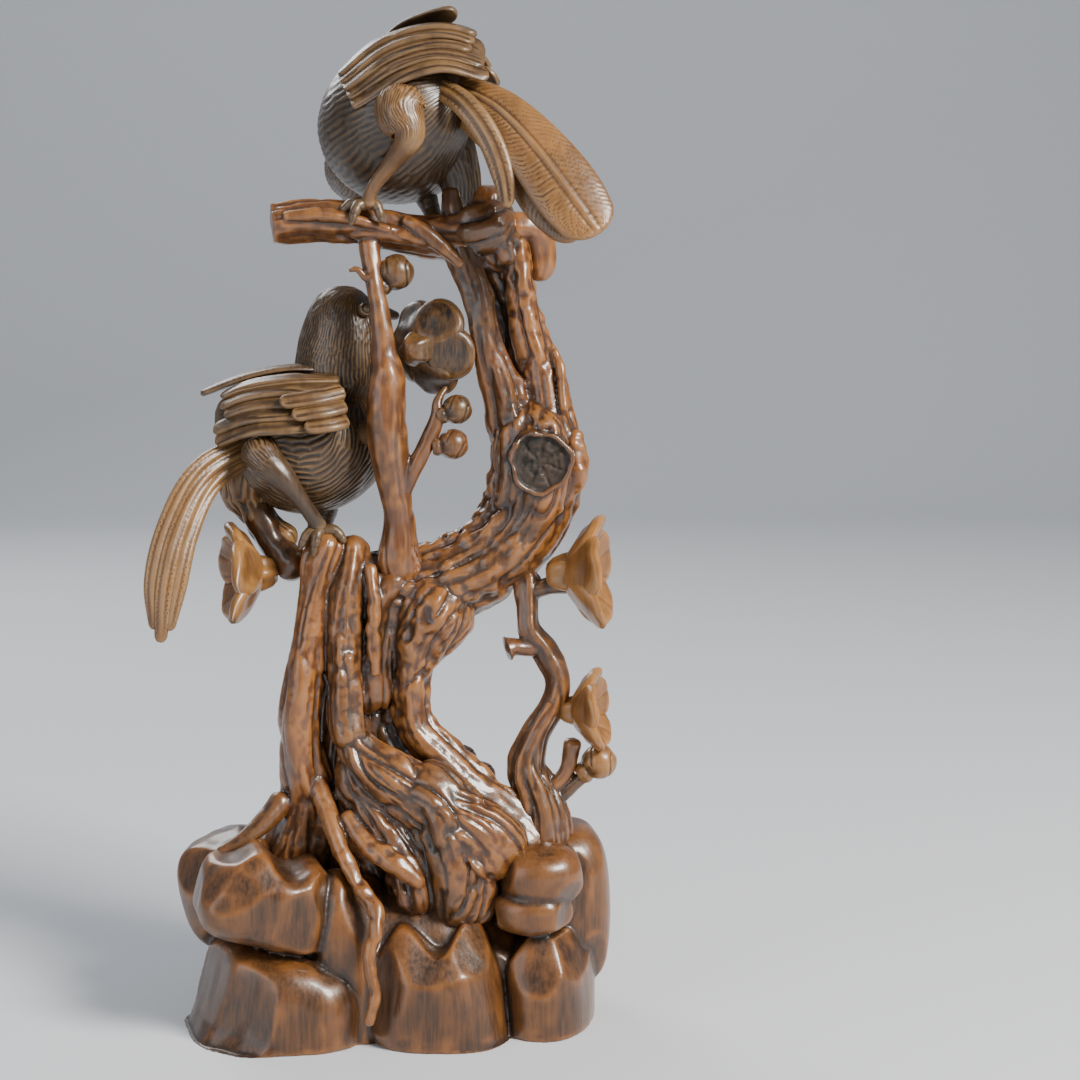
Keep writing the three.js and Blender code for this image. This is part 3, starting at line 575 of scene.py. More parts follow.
def feather(points, face, thick=FEATHER / 2, cup=0.12, pitch=(1.15, 1.15), slant=(0.9, 0.9), depth=0.2, shaft=0.2,
            streak=0.0, lift=0.0, tip=1.2, tone=0.3, seed=0, spacing=0.3):
    """A blade with a shaft and barbs. Barbs on either side have a pitch in mm and a slant: how far along the
    feather they run for each mm away from the shaft. Streaks run lengthwise. A lift raises one edge in mm."""
    path, at = smooth_path([[*p[:4], thick] for p in points], spacing)
    width = path[:, 3].copy()
    columns = 2 * int(max(16, 2 * width.max() / 0.3))
    across, out = blade_outline(columns)
    blunt = round_ends(at, 0.6 * width[0], tip * width[-1])
    path[:, 3] = width * blunt
    path[:, 4] = thick * np.minimum(1, blunt * 1.6)
    away = across[None] * path[:, 3, None]
    along = at[:, None]
    right = away > 0
    pitches = np.where(right, pitch[0], pitch[1])
    slants = np.where(right, slant[0], slant[1])
    bend = 0.7 * noise(away / 3, along / 4, 0.0, seed) + 0.25 * noise(away / 1.2, along / 1.6, 0.0, seed + 1)
    phase = (along - slants * np.abs(away) ** 1.08 + bend) / pitches
    uneven = 0.65 + 0.5 * noise(away / 2, along / 3, 0.0, seed + 2)
    barbs = groove(np.sin(np.pi * phase), 0.3) * uneven
    middle = np.clip((np.abs(away) - 0.35) / 0.5, 0, 1) * np.clip((1 - np.abs(across[None])) * 9, 0, 1)
    line = groove(away, 0.34) - 0.8 * groove(np.abs(away) - 0.75, 0.24)
    fade = np.clip((at[-1] - along) / 3, 0, 1)
    front = out[None] > 0
    streaks = groove(noise(away / 0.8, along / 14, 0.0, seed + 3), 0.16) + 0.5 * noise(away / 0.7, along / 5, 3.0, seed)
    relief = (shaft * line * fade - depth * barbs * middle - streak * streaks * middle) * front
    relief = relief + lift * across[None] * blunt[:, None]
    outline = np.stack([np.broadcast_to(across, relief.shape), out[None] + relief / path[:, 4, None]], axis=-1)
    grid = skin(path, outline, face, cup)
    return closed_skin(grid, tone=tone, cut=np.clip((depth > 0) * barbs * middle * front, 0, 1))


print(len(feather([[0, 0, 0, 3], [0, 0, 20, 4]], VIEWER)["points"]), "points in one feather")

# %% [markdown]
# ## Down and plumage
# Bodies are plump forms. Down is cut as short curved strokes in staggered rows, like hatching that follows the
# body. Every stroke is one cell of a grid laid round the body, bent by noise so that no two rows are alike.
# Longer and finer cells make the hair-like plumage of the neck and the thighs.

# %% Bodies with strokes


def strokes(angle, along, lanes, length, seed, wander):
    """1 in the middle of a cut and 0 between cuts. Lanes is how many cuts lie side by side round the body, and
    length is how long one is. A cut bows to one side and fades at both ends."""
    x, y = np.cos(angle), np.sin(angle)
    p = angle / (2 * np.pi) * lanes + 2 * wander * noise(2.6 * x, 2.6 * y, along / 6, seed)
    lane = np.floor(p)
    q = along / length + 0.5 * (lane % 2) + 0.4 * np.sin(7.7 * (lane % lanes))
    q = q + wander * noise(3 * x, 3 * y, along / 4, seed + 1)
    s, t = p - lane - 0.5, q - np.floor(q)
    return groove(s - 0.3 * np.sin(np.pi * t), 0.24) * np.sqrt(np.sin(np.pi * t))


def plump(points, face=UP, depth=0.2, pitch=1.1, length=4.5, wander=0.5, rough=0.0, tone=0.3, seed=0, spacing=0.33,
          reach=0.9, until=1e6):
    """A round form with strokes of a pitch and a length in mm, which stop at a distance along it."""
    path, at = smooth_path(points, spacing)
    widest = path[:, 3].max()
    angle = np.linspace(0, 2 * np.pi, max(24, int(2 * np.pi * widest / spacing)), endpoint=False)[None]
    ends = round_ends(at, reach * path[0, 3], reach * path[-1, 3])[:, None]
    width, thick = path[:, 3, None] * ends, path[:, 4, None] * ends
    sideways, outwards = width * np.cos(angle), thick * np.sin(angle)
    along = at[:, None]
    lanes = 2 * max(4, round(math.pi * widest / pitch))
    cuts = strokes(angle, along, lanes, length, seed, wander) * np.clip((until - along) / 2, 0, 1)
    soft = rough * noise(sideways / 3, outwards / 3, along / 3, seed + 6)
    grain = 0.05 * noise(sideways / 0.8, outwards / 0.8, along / 2.5, seed + 8)
    relief = (soft + grain - depth * cuts) * np.clip(ends * 1.5, 0, 1)
    outline = np.stack([np.cos(angle) * (ends + relief / path[:, 3, None]),
                        np.sin(angle) * (ends + relief / path[:, 4, None])], axis=-1)
    return closed_skin(skin(path, outline, face), tone=tone, cut=cuts)


def horn(points, face=UP, tone=0.0, ring=0.0, spacing=0.25):
    """A smooth tapering form, for beaks, shins, toes and claws. Ring is the depth of scales cut round it."""
    path, at = smooth_path(points, spacing)
    angle = np.linspace(0, 2 * np.pi, 26, endpoint=False)[None]
    ends = round_ends(at, 0.9 * path[0, 3], 0.9 * path[-1, 3])[:, None]
    rings = ring * groove(np.sin(np.pi * at[:, None] / 1.5), 0.4) * ends
    share = ends - rings / path[:, 3, None]
    outline = np.stack([np.cos(angle) * share, np.sin(angle) * share], axis=-1)
    return closed_skin(skin(path, outline, face), tone=tone)


def eye(centre, radius, axis):
    """A round eye in a raised ring: radius against height of a small turned profile, set along the axis."""
    profile = np.array([[0.05, 0.9], [0.4, 0.85], [0.62, 0.6], [0.68, 0.25], [0.85, 0.45], [1.05, 0.3], [1.1, -0.5]])
    angle = np.linspace(0, 2 * np.pi, 24, endpoint=False)
    axis = unit(np.array(axis, float))
    first = unit(np.cross(axis, [0.3, 0.2, 1]))
    second = np.cross(axis, first)
    ring = np.cos(angle)[:, None] * first + np.sin(angle)[:, None] * second
    grid = np.array(centre) + radius * (profile[:, None, :1] * ring + profile[:, None, 1:] * axis)
    return closed_skin(grid, tone=0.0)


def foot(ankle, toes):
    """Toes that spread from the ankle and grip, each with faint scales and a small claw at its end."""
    x, y, z = ankle
    made = []
    for dx, dy, dz in toes:
        knuckle = [x + dx * 0.6, y + dy * 0.6, z + dz * 0.3 + 0.6, 1.15]
        made.append(horn([[x, y, z, 1.4], knuckle, [x + dx, y + dy, z + dz, 0.8],
                          [x + dx * 1.12, y + dy * 1.12, z + dz * 1.3 - 0.4, 0.3]], (0.1, 0.2, 1), ring=0.07))
    return made


def wing(spine, face, feathers, down, tone=0.25, tips=(0.88, 1.0), seed=0):
    """A folded wing: long feathers side by side like shingles. Each one is a copy of the spine moved across the
    wing, and its lower edge stands proud over the next. Tips is how much of the spine the first and the last
    feather cover. Down is 1 if the wing's lower edge is on the side that across points to, and -1 if not."""
    path, at = smooth_path(spine, 0.5)
    along = unit(np.gradient(path[:, :3], axis=0))
    across = unit(np.cross(along, np.asarray(face, float)))
    out = np.cross(across, along)
    made = []
    for i in range(feathers):
        place = down * ((2 * i + 1) / feathers - 1)
        centres = path[:, :3] + across * (path[:, 3:4] * place) - out * (0.14 * path[:, 3:4] * place**2)
        rows = np.concatenate([centres, path[:, 3:4] / feathers * 1.5], axis=1)
        count = int(len(rows) * (tips[0] + (tips[1] - tips[0]) * i / (feathers - 1)))
        rows = rows[:count][:: max(1, count // 9)]
        turned_face = np.asarray(face, float) + 0.3 * place * across[len(across) // 2]
        made.append(feather(rows.tolist(), turned_face.tolist(), thick=0.8, cup=0.02, depth=0.0, shaft=0.0,
                            streak=0.2, lift=0.62 * down, tip=0.9, tone=tone, seed=seed + i, spacing=0.33))
    inner = np.concatenate([path[:, :3] - 1.5 * out, path[:, 3:4] * 0.85, np.full((len(path), 1), 1.0)], axis=1)
    made.append(plump(inner[::4].tolist(), face, depth=0.05, tone=0.0, seed=seed + 20, spacing=0.6, reach=0.5))
    return made


# %% [markdown]
# ## The upper bird
# It sits with its back to the viewer. Its closed wing is a stack of long feathers with dark gaps between them,
# and the long tail feathers hang down to the right over the trunk.

# %% Upper bird
BIRD_FACES = 186000
upper = [
    plump([[14, -4, 185, 5], [9, 0, 182.5, 11.5], [2.5, 7, 178.5, 15.5], [-1.5, 13, 175.5, 14.3],
           [-4.5, 20, 172.5, 9]], depth=0.14, pitch=1.5, length=4, tone=0.05, seed=51),
    plump([[-2, 16, 174, 9.5], [-4.5, 22, 171, 8.8], [-6.5, 27, 169, 7.6], [-8, 31, 166, 5]], depth=0.2,
          pitch=0.9, length=3.4, tone=0.2, seed=52),
    horn([[-7.5, 30, 165.8, 2.8, 2.2], [-9.5, 36.5, 161.5, 0.8, 0.6]]),
    eye([-12.6, 27.6, 171], 1.3, [-0.8, 0.35, 0.4]),
    eye([-0.4, 29, 171.6], 1.3, [0.75, 0.5, 0.4]),
    *wing([[-9, -1.5, 184, 5.6], [0.5, -4, 190.5, 7.4], [10.5, -5.5, 192.5, 7.2], [20, -5.5, 189.6, 6]],
          (0, -0.67, 0.7), 5, 1, seed=60),
    *wing([[2, 17, 186, 6], [9.5, 13.5, 189.5, 6.6], [15, 7, 191.5, 5.6], [19.5, -1.5, 189, 4.6]],
          (0.6, 0.55, 0.6), 3, -1, seed=70),
    feather([[-1, 12, 191, 3], [3.5, 8.5, 195.8, 3.4], [8.5, 5.5, 198.1, 3], [12.9, 2.5, 199.6, 1.8]],
            (0.2, 0.5, 1), tone=0.0, seed=80),
    feather([[11, -3, 185, 3.4], [20, -10.5, 180, 4.8], [27, -16, 172.5, 6], [33.5, -20.5, 163.5, 6.6],
             [38.7, -23, 156, 5]], (-0.15, -1, 0.55), pitch=(0.95, 1.35), slant=(1.9, 0.85), depth=0.2,
            shaft=0.22, tone=0.8, tip=0.8, seed=90),
    feather([[8, -4, 185, 2], [14, -12, 180.5, 2.4], [18.5, -15, 174, 2.4], [21, -16.5, 167, 2.2],
             [22, -16.5, 161, 1.2]], (-0.4, -1, 0.3), pitch=(1.2, 1.2), tone=0.5, seed=91),
    feather([[14, -2, 182, 4], [24, -10.5, 172, 5], [30, -15, 162, 5], [35, -19.5, 155, 3]], (-0.2, -1, 0.5),
            tone=0.7, seed=92),
    plump([[9, 0, 184, 5, 3], [11, 1.5, 175, 5.4, 2.4], [13.5, 2, 167, 4.4, 2.2], [14.5, 2, 160, 3.4, 2]],
          (-0.4, -1, 0), depth=0.2, pitch=1.3, length=7, tone=0.0, seed=93),
    plump([[3, -4, 183, 5.5], [2, -8, 178.8, 5], [3.4, -10, 174.6, 3], [0.2, -8, 169.9, 1.7], [-3.7, -6, 164.7, 1.3],
           [-4.5, -4.5, 161.5, 1.7]], VIEWER, depth=0.2, pitch=0.8, length=2.6, tone=0.5, seed=94, spacing=0.28,
          until=12),
    *foot([-4.5, -4, 162], [[-5, 1, -1.5], [-3, -2.5, -3], [2.5, -1.5, -2.5]]),
    horn([[6, 9, 166, 3], [8, 7, 161, 1.8], [9, 4, 158, 2]], VIEWER, ring=0.08),
]
upper_bird = thinned(joined_mesh("upper_bird", upper), BIRD_FACES)
print("upper_bird has", len(upper), "skins")

# %% [markdown]
# ## The lower bird
# It stands on the stub of the left limb and looks away to the right. Its long tail hangs down like a bundle of
# reeds, and its neck is cut with fine upright hairs.

# %% Lower bird


def reed_tail(points, face, count=3, tone=0.6, seed=0):
    """The closed tail: narrow feathers side by side along one path, the inner ones longer and on top."""
    rows = np.array(points, float)
    along = unit(np.gradient(rows[:, :3], axis=0))
    across = unit(np.cross(along, np.asarray(face, float)))
    out = np.cross(across, along)
    made = []
    for i in range(count):
        share = (i + 0.5) / count * 2 - 1
        step = across * rows[:, 3:4] * share * 0.85 + out * (0.8 - 1.1 * share**2)
        path = np.concatenate([rows[:, :3] + step, rows[:, 3:4] * 1.2 / count + 0.3], axis=1)
        path[-1, :3] -= along[-1] * 3.5 * abs(share)
        made.append(feather(path.tolist(), face, thick=1.0, cup=0.1, pitch=(1.2, 1.2), slant=(1.9, 1.9), depth=0.24,
                            shaft=0.15, tone=tone, seed=seed + i))
    return made


lower = [
    plump([[-31, 1, 116.5, 5], [-26, 3.5, 115.5, 10.5], [-17.5, 8, 115, 14.6], [-12.5, 10.5, 118.5, 13.8],
           [-10.5, 11, 127, 9.6]], (-0.3, -1, 0.1), depth=0.26, pitch=1.4, length=4.5, tone=0.15, seed=101),
    plump([[-12, 10.5, 121, 10.5], [-10.5, 11, 127, 9.8], [-9.8, 10.5, 135.5, 8.8], [-8.8, 10, 142, 6.8],
           [-7.5, 9.5, 146, 3.6]], (-0.3, -1, 0.1), depth=0.22, pitch=0.85, length=4.2, wander=0.8, tone=0.25,
          seed=102),
    horn([[-5, 11, 141.5, 2.8, 2.4], [1.5, 13, 140, 0.8, 0.7]]),
    eye([-5.2, 3.6, 141.6], 1.3, [0.5, -0.8, 0.25]),
    eye([-5, 17, 141.6], 1.3, [0.5, 0.8, 0.25]),
    *wing([[-9.5, -2.5, 124.6, 5.6], [-19, -5, 124.2, 6.6], [-28.5, -3.4, 123, 6.2], [-36.4, 0.8, 119.5, 5.6]],
          (0, -0.82, 0.57), 5, -1, seed=110),
    *wing([[-8, 16, 124, 6], [-17, 18.5, 123.5, 6.5], [-27, 14.5, 122.5, 6], [-36, 7.5, 120.5, 5]],
          (-0.1, 0.9, 0.45), 3, 1, seed=120),
    feather([[-14, 6.5, 129.6, 3], [-21, 5.5, 129.8, 3.4], [-29, 5, 128.2, 3], [-38, 4.2, 124.8, 1.8]],
            (0, 0.1, 1), tone=0.1, seed=130),
    *[feather([[-9.5 + i * 0.3, -4.2 - i * 1.3, 126 - i * 2.8, 1.8],
               [-14.5 + i * 1.2, -7 - i * 1.2, 125 - i * 2.5, 1.9],
               [-22 + i * 2.4, -7.4 - i * 1.2, 124 - i * 2.4, 1.7]], (0.1, -1, 0.6), depth=0.0, shaft=0.1,
              streak=0.18, lift=-0.3, tone=0.35, seed=131 + i)
      for i in range(3)],
    *reed_tail([[-28, 2, 114.8, 3, 2], [-36.7, -4, 109.3, 3.7, 2], [-41.7, -9, 99.4, 4, 1.8],
                [-44, -12, 89, 4, 1.6], [-45, -12, 78, 2.2, 1.2]], (-0.1, -1, -0.3), seed=140),
    plump([[-27, -2.5, 115.5, 4.5], [-25.2, -5.6, 113, 3.8], [-21.6, -7.2, 109.5, 2.6], [-17.5, -6.2, 104, 1.6],
           [-14, -4.5, 98.5, 1.6]], VIEWER, depth=0.18, pitch=0.8, length=2.6, tone=0.2, seed=150, spacing=0.28,
          until=8),
    *foot([-14, -4.5, 98.5], [[-4, -1, -2.5], [-1.5, -2.5, -3.5], [4, -1, -1.5]]),
    plump([[-29, 5, 112, 6], [-29.5, 6, 106, 4.6], [-26, 7, 99, 3.4], [-20, 6, 94, 2.6]], VIEWER, depth=0.5,
          pitch=2.2, length=7, rough=0.8, tone=0.6, seed=151),
    horn([[-14, 10, 104, 4], [-15, 8, 97, 2.4], [-15, 3, 91, 3]], VIEWER, ring=0.08),
    horn([[-8, 3, 117.5, 3], [-1, -5, 117.5, 2]], UP),
]
lower_bird = thinned(joined_mesh("lower_bird", lower), BIRD_FACES)
print("lower_bird has", len(lower), "skins")

# %% [markdown]
# ## Blossoms and buds
# Plum blossoms have five round petals. A carver leaves them thick, cupped and slightly wavy, because thin ones
# would break, and cuts the stamens as a small tuft. A petal is a disc laid onto a bent rib: close to the heart
# it leaves almost flat, then it rises towards the axis, and its rim turns out again.

# %% Blossoms
BLOSSOM_FACES = 150000
PETALS = 5
PETAL = 1.6


def set_along(grid, centre, axis):
    """A form made around +Z, turned so that +Z points along the axis, and moved to the centre."""
    axis = unit(np.array(axis, float))
    helper = np.array([0.0, 0, 1]) if abs(axis[2]) < 0.9 else np.array([1.0, 0, 0])
    first = unit(np.cross(helper, axis))
    second = np.cross(axis, first)
    return np.array(centre) + grid[..., :1] * first + grid[..., 1:2] * second + grid[..., 2:] * axis


def petal(centre, axis, radius, turn, seed, tone, closing=1.0, thick=PETAL):
    """One thick petal. Its rib leaves at an angle from the axis that shrinks by the closing and grows again near
    the rim; summing the sines gives distance from the axis, and the cosines height along it."""
    front_rows, back_rows, columns = 24, 14, 72
    ring = np.linspace(0, 2 * np.pi, columns, endpoint=False)[None]
    share = np.concatenate([np.linspace(0.02, 1, front_rows), np.linspace(1, 0.02, back_rows)])[:, None]
    side = np.concatenate([np.ones(front_rows), -np.ones(back_rows)])[:, None]
    x = share * 0.52 * radius * np.sin(ring) * (1 + 0.14 * np.cos(ring))
    y = 0.6 + share * 0.5 * np.cos(ring) * (1 - 0.14 * np.abs(np.sin(ring)) ** 3)
    s = np.linspace(0, 1.25, 200)
    angle = 1.35 - closing * s + 0.75 * closing * s**4
    away = np.append(0, np.cumsum(np.sin(angle[:-1]) * np.diff(s)))
    rise = np.append(0, np.cumsum(np.cos(angle[:-1]) * np.diff(s)))
    tilt = np.interp(y, s, angle)
    cup = 0.30 * closing * x**2 / radius
    wavy = 0.045 * radius * noise(x / radius * 3.2, y * 3.2, turn, seed) * np.clip(y * 1.4, 0, 1)
    veins = 0.12 * groove(np.sin(7 * x / radius / np.maximum(y, 0.2) + 0.8 * wavy), 0.3) * (side > 0) * (share < 0.93)
    half = 0.5 * thick * np.sqrt(np.clip(1 - share**8, 0, 1)) * (1.25 - 0.35 * np.clip(y, 0, 1))
    stand = side * half + wavy - veins
    r = radius * np.interp(y, s, away) - stand * np.cos(tilt) - cup * np.cos(tilt)
    h = radius * np.interp(y, s, rise) + stand * np.sin(tilt) + cup * np.sin(tilt)
    c, d = math.cos(turn), math.sin(turn)
    flat = np.stack([r * c - x * d, r * d + x * c, h], axis=-1)
    return closed_skin(set_along(flat, centre, axis), tone=tone)


def calyx_and_stamens(centre, axis, radius, tone):
    """The small cup behind the petals as a turned profile, and a domed tuft of stamens cut as studs."""
    angle = np.linspace(0, 2 * np.pi, 60, endpoint=False)[None]
    profile = np.array([[0.02, -0.36], [0.16, -0.34], [0.24, -0.25], [0.3, -0.1], [0.32, 0.0], [0.24, 0.1],
                        [0.05, 0.12]])
    reach = radius * profile[:, :1] * (1 + 0.1 * np.cos(5 * angle))
    cup = np.stack([reach * np.cos(angle), reach * np.sin(angle), radius * profile[:, 1:] + 0 * angle], axis=-1)
    down = np.linspace(0.05, 1.6, 24)[:, None]
    dome = 0.27 * radius * (1 + 0.13 * np.cos(9 * angle) * np.sin(6 * down))
    tuft = np.stack([dome * np.sin(down) * np.cos(angle), dome * np.sin(down) * np.sin(angle),
                     0.08 * radius + 1.2 * dome * np.cos(down) + 0 * angle], axis=-1)
    return [closed_skin(set_along(cup, centre, axis), tone=tone), closed_skin(set_along(tuft, centre, axis), tone=tone)]


def blossom(centre, axis, radius, turn, tone, closing=1.0, thick=PETAL):
    """Five petals around the heart, the tuft of stamens, and the calyx behind them."""
    made = calyx_and_stamens(centre, axis, radius, tone)
    for i in range(PETALS):
        place = math.radians(turn) + 2 * math.pi * i / PETALS
        made.append(petal(centre, axis, radius, place, 200 + i, tone, closing, thick))
    return made


def bud(start, centre, radius, tone):
    """A round bud on its stalk: a ball with the petals that wrap it cut as grooves, and a lobed calyx."""
    away = unit(np.array(centre, float) - np.array(start, float))
    length = float(np.linalg.norm(np.array(centre, float) - np.array(start, float)))
    run = np.linspace(0, 1, 60)[:, None]
    angle = np.linspace(0, 2 * np.pi, 54, endpoint=False)[None]
    z = run * (length + 0.92 * radius)
    ball = np.sqrt(np.clip(1 - ((z - length) / radius) ** 2, 0, 1)) * radius
    stalk = 0.42 * radius * (1 + 0.5 * np.exp(-((z - length + 1.1 * radius) / (0.35 * radius)) ** 2))
    reach = np.maximum(ball, stalk * (z < length))
    wrap = 0.22 * groove(np.sin(1.5 * angle + 2.2 * (z - length) / radius), 0.16) * (z > length - 0.5 * radius)
    lobes = 0.3 * np.clip(np.cos(5 * angle), 0, 1) * np.exp(-((z - length + 0.75 * radius) / (0.3 * radius)) ** 2)
    reach = np.maximum(reach - wrap + lobes, 0.05)
    grid = np.stack([reach * np.cos(angle), reach * np.sin(angle), z + 0 * angle], axis=-1)
    return [closed_skin(set_along(grid, start, away), tone=tone)]


flowers = [
    *blossom([34.5, -3.5, 89.5], [1, -0.2, 0.05], 12.5, 18, 0.85, 1.0, 2.6),
    *blossom([35.8, -6, 62.3], [1, -0.25, 0.1], 9.2, 18, 0.8, 1.0, 2.4),
    *blossom([-27, 2, 89.5], [-1, -0.2, 0], 11, 18, 0.6, 0.9, 2.8),
    *blossom([5, -2, 134], [0.6, 0.78, 0.1], 10.5, 50, 0.0, 0.9, 2.6),
    *blossom([-5, 18, 62], [-0.2, 1, 0.2], 9.5, 0, 0.5, 0.8, 2.2),
    *bud([8.6, -6, 121], [12.6, -6, 122.4], 2.9, 0.0),
    *bud([7.6, -6, 115], [11.8, -6, 115.6], 3.0, 0.0),
    *bud([-2.5, -2.5, 146], [0.9, -2.4, 149], 3.5, 0.1),
    *bud([36.5, -6, 49], [40.6, -6, 52], 3.5, 0.5),
    *bud([12, 12, 51], [14.2, 12.5, 49], 2.6, 0.1),
    *bud([15, 13, 47], [18, 13, 45.3], 2.7, 0.1),
]
blossoms = thinned(joined_mesh("plum_blossoms", flowers), BLOSSOM_FACES)
print("plum_blossoms has", len(flowers), "skins")

# %% [markdown]
# ## Where the stain gathers, and painted shade
# Stain and wax stay dark in hollows, and hands rub the crests light. The darkening in hollows and creases is also
# painted shade: the shade that the wood around a point would give it is put into its colour. Both are measured on
# the finished form and kept as values on its points. Crest is how far a point stands off its own smoothed surface.
# Hollow is how much wood is around it: the solid is counted into small cells, blurred, and read a little way off the
# surface.

# %% Measure crests and hollows
CELL = 0.8
MARGIN = 12


def triangles_of(piece):
    """The corners of every triangle, from the mesh's own triangulation."""
    data = piece.data
    data.calc_loop_triangles()
    flat = np.empty(len(data.loop_triangles) * 3, np.int32)
    data.loop_triangles.foreach_get("vertices", flat)
    return flat.reshape(-1, 3)


def wood_in_cells(pieces):
    """How much wood is in each cell. Climbing up a column, a face that looks down adds its share of the column
    and one that looks up takes it away, so a running sum along z is 1 inside the wood and 0 outside it."""
    low = np.min([read_points(piece).min(axis=0) for piece in pieces], axis=0) - MARGIN
    high = np.max([read_points(piece).max(axis=0) for piece in pieces], axis=0) + MARGIN
    shape = ((high - low) / CELL).astype(int) + 1
    cells = np.zeros(shape)
    for piece in pieces:
        corners = read_points(piece)[triangles_of(piece)]
        area_z = np.cross(corners[:, 1] - corners[:, 0], corners[:, 2] - corners[:, 0])[:, 2] / 2
        at = ((corners.mean(axis=1) - low) / CELL).astype(int)
        flat = np.ravel_multi_index(at.T, shape)
        cells += np.bincount(flat, -area_z / CELL**2, minlength=cells.size).reshape(shape)
    return np.clip(np.cumsum(cells, axis=2), 0, 1), low


def blurred(cells, radius):
    """The cells blurred by a bell curve of that radius in mm: their spectrum times the bell's own spectrum."""
    spectrum = np.fft.rfftn(cells)
    waves = [np.fft.fftfreq(n, CELL) for n in cells.shape[:2]] + [np.fft.rfftfreq(cells.shape[2], CELL)]
    square = waves[0][:, None, None] ** 2 + waves[1][None, :, None] ** 2 + waves[2][None, None] ** 2
    return np.fft.irfftn(spectrum * np.exp(-2 * (np.pi * radius) ** 2 * square), cells.shape)


def read_cells(cells, low, points):
    """The value at each point, blended between the eight cells around it."""
    place = (points - low) / CELL - 0.5
    corner = np.clip(np.floor(place).astype(int), 0, np.array(cells.shape) - 2)
    t = np.clip(place - corner, 0, 1)
    total = np.zeros(len(points))
    for dx, dy, dz in np.ndindex(2, 2, 2):
        share = np.abs(1 - dx - t[:, 0]) * np.abs(1 - dy - t[:, 1]) * np.abs(1 - dz - t[:, 2])
        total += share * cells[corner[:, 0] + dx, corner[:, 1] + dy, corner[:, 2] + dz]
    return total


def set_value(piece, name, values):
    """One number for each point, kept on the mesh under a name that a material can read."""
    layer = piece.data.attributes.get(name) or piece.data.attributes.new(name, "FLOAT", "POINT")
    layer.data.foreach_set("value", values.astype(np.float32))


carvings = [rock, roots, shoots, upper_bird, lower_bird, blossoms]
wood, lowest = wood_in_cells(carvings)
near, wide = blurred(wood, 1.3), blurred(wood, 4.5)
for piece in carvings:
    points, edges = read_points(piece), read_edges(piece)
    normals = np.empty(len(points) * 3, np.float32)
    piece.data.vertex_normals.foreach_get("vector", normals)
    normals = normals.reshape(-1, 3)
    stand = ((points - relaxed(points, edges, 6)) * normals).sum(axis=1)
    set_value(piece, "crest", np.clip(0.5 + stand / 0.16, 0, 1))
    close = read_cells(near, lowest, points + 0.8 * normals)
    far = read_cells(wide, lowest, points + 2.5 * normals)
    # Painted shade as well as pooled stain: hollow is high where the wood all round would keep light out.
    hollow = np.clip((close - 0.22) / 0.4, 0, 1) * 0.5 + np.clip((far - 0.25) / 0.4, 0, 1) * 0.5
    set_value(piece, "hollow", hollow)
    smooth_faces = np.ones(len(piece.data.polygons), bool)
    piece.data.polygons.foreach_set("use_smooth", smooth_faces)
    print(piece.name, "crest", stand.std().round(3), "hollow mean", hollow.mean().round(2))

# %% [markdown]
# ## Stain, wax, grain and painted shade
# All the wood has one finish: boxwood with a brown stain, orange where it was rubbed back, under a clear wax that
# gives small sharp lights. The near black in the cuts, hollows and creases is stain and painted shade together. One
# node group mixes the stains and the painted shade from the measured values and from noise, and each material gives
# it its own colours.

# %% The stain and painted shade as a node group


class Wiring:
    """Adds nodes to a tree and links them, so that a formula reads from left to right."""

    def __init__(self, tree):
        self.tree = tree

    def put(self, value, socket):
        """Links a socket, or sets a plain value."""
        if isinstance(value, bpy.types.NodeSocket):
            self.tree.links.new(value, socket)
        else:
            socket.default_value = value

    def node(self, kind, inputs=(), **settings):
        """A new node with its settings, and its inputs by name or number."""
        made = self.tree.nodes.new(kind)
        for key, value in settings.items():
            setattr(made, key, value)
        for key, value in dict(inputs).items():
            self.put(value, made.inputs[key])
        return made

    def math(self, operation, *values, clamp=False):
        """One step of arithmetic."""
        return self.node("ShaderNodeMath", enumerate(values), operation=operation, use_clamp=clamp).outputs[0]

    def span(self, value, low, high, to_low=0.0, to_high=1.0):
        """The value's place between low and high, clamped, as a number from to_low to to_high."""
        inputs = {"Value": value, "From Min": low, "From Max": high, "To Min": to_low, "To Max": to_high}
        return self.node("ShaderNodeMapRange", inputs, interpolation_type="SMOOTHSTEP").outputs[0]

    def mix(self, share, first, second, how="MIX"):
        """Two colours mixed by a share."""
        made = self.node("ShaderNodeMix", data_type="RGBA", blend_type=how)
        self.put(share, made.inputs[0])
        self.put(first, made.inputs[6])
        self.put(second, made.inputs[7])
        return made.outputs[2]

    def noise(self, vector, scale, stretch=(1, 1, 1), detail=3.0, rough=0.55):
        """Noise whose cells are one over the scale, drawn out by the stretch."""
        mapped = self.node("ShaderNodeMapping", {"Vector": vector, "Scale": [scale * s for s in stretch]})
        inputs = {"Vector": mapped.outputs[0], "Scale": 1.0, "Detail": detail, "Roughness": rough}
        return self.node("ShaderNodeTexNoise", inputs).outputs[0]

    def value(self, name):
        """A number kept on the mesh's points."""
        return self.node("ShaderNodeAttribute", attribute_name=name).outputs["Fac"]


def new_group(name, inputs, outputs):
    """An empty node group with named sockets. Inputs and outputs are pairs of name and kind."""
    group = bpy.data.node_groups.new(name, "ShaderNodeTree")
    for label, kind in inputs:
        group.interface.new_socket(label, in_out="INPUT", socket_type=kind)
    for label, kind in outputs:
        group.interface.new_socket(label, in_out="OUTPUT", socket_type=kind)
    wires = Wiring(group)
    return group, wires, wires.node("NodeGroupInput").outputs, wires.node("NodeGroupOutput").inputs


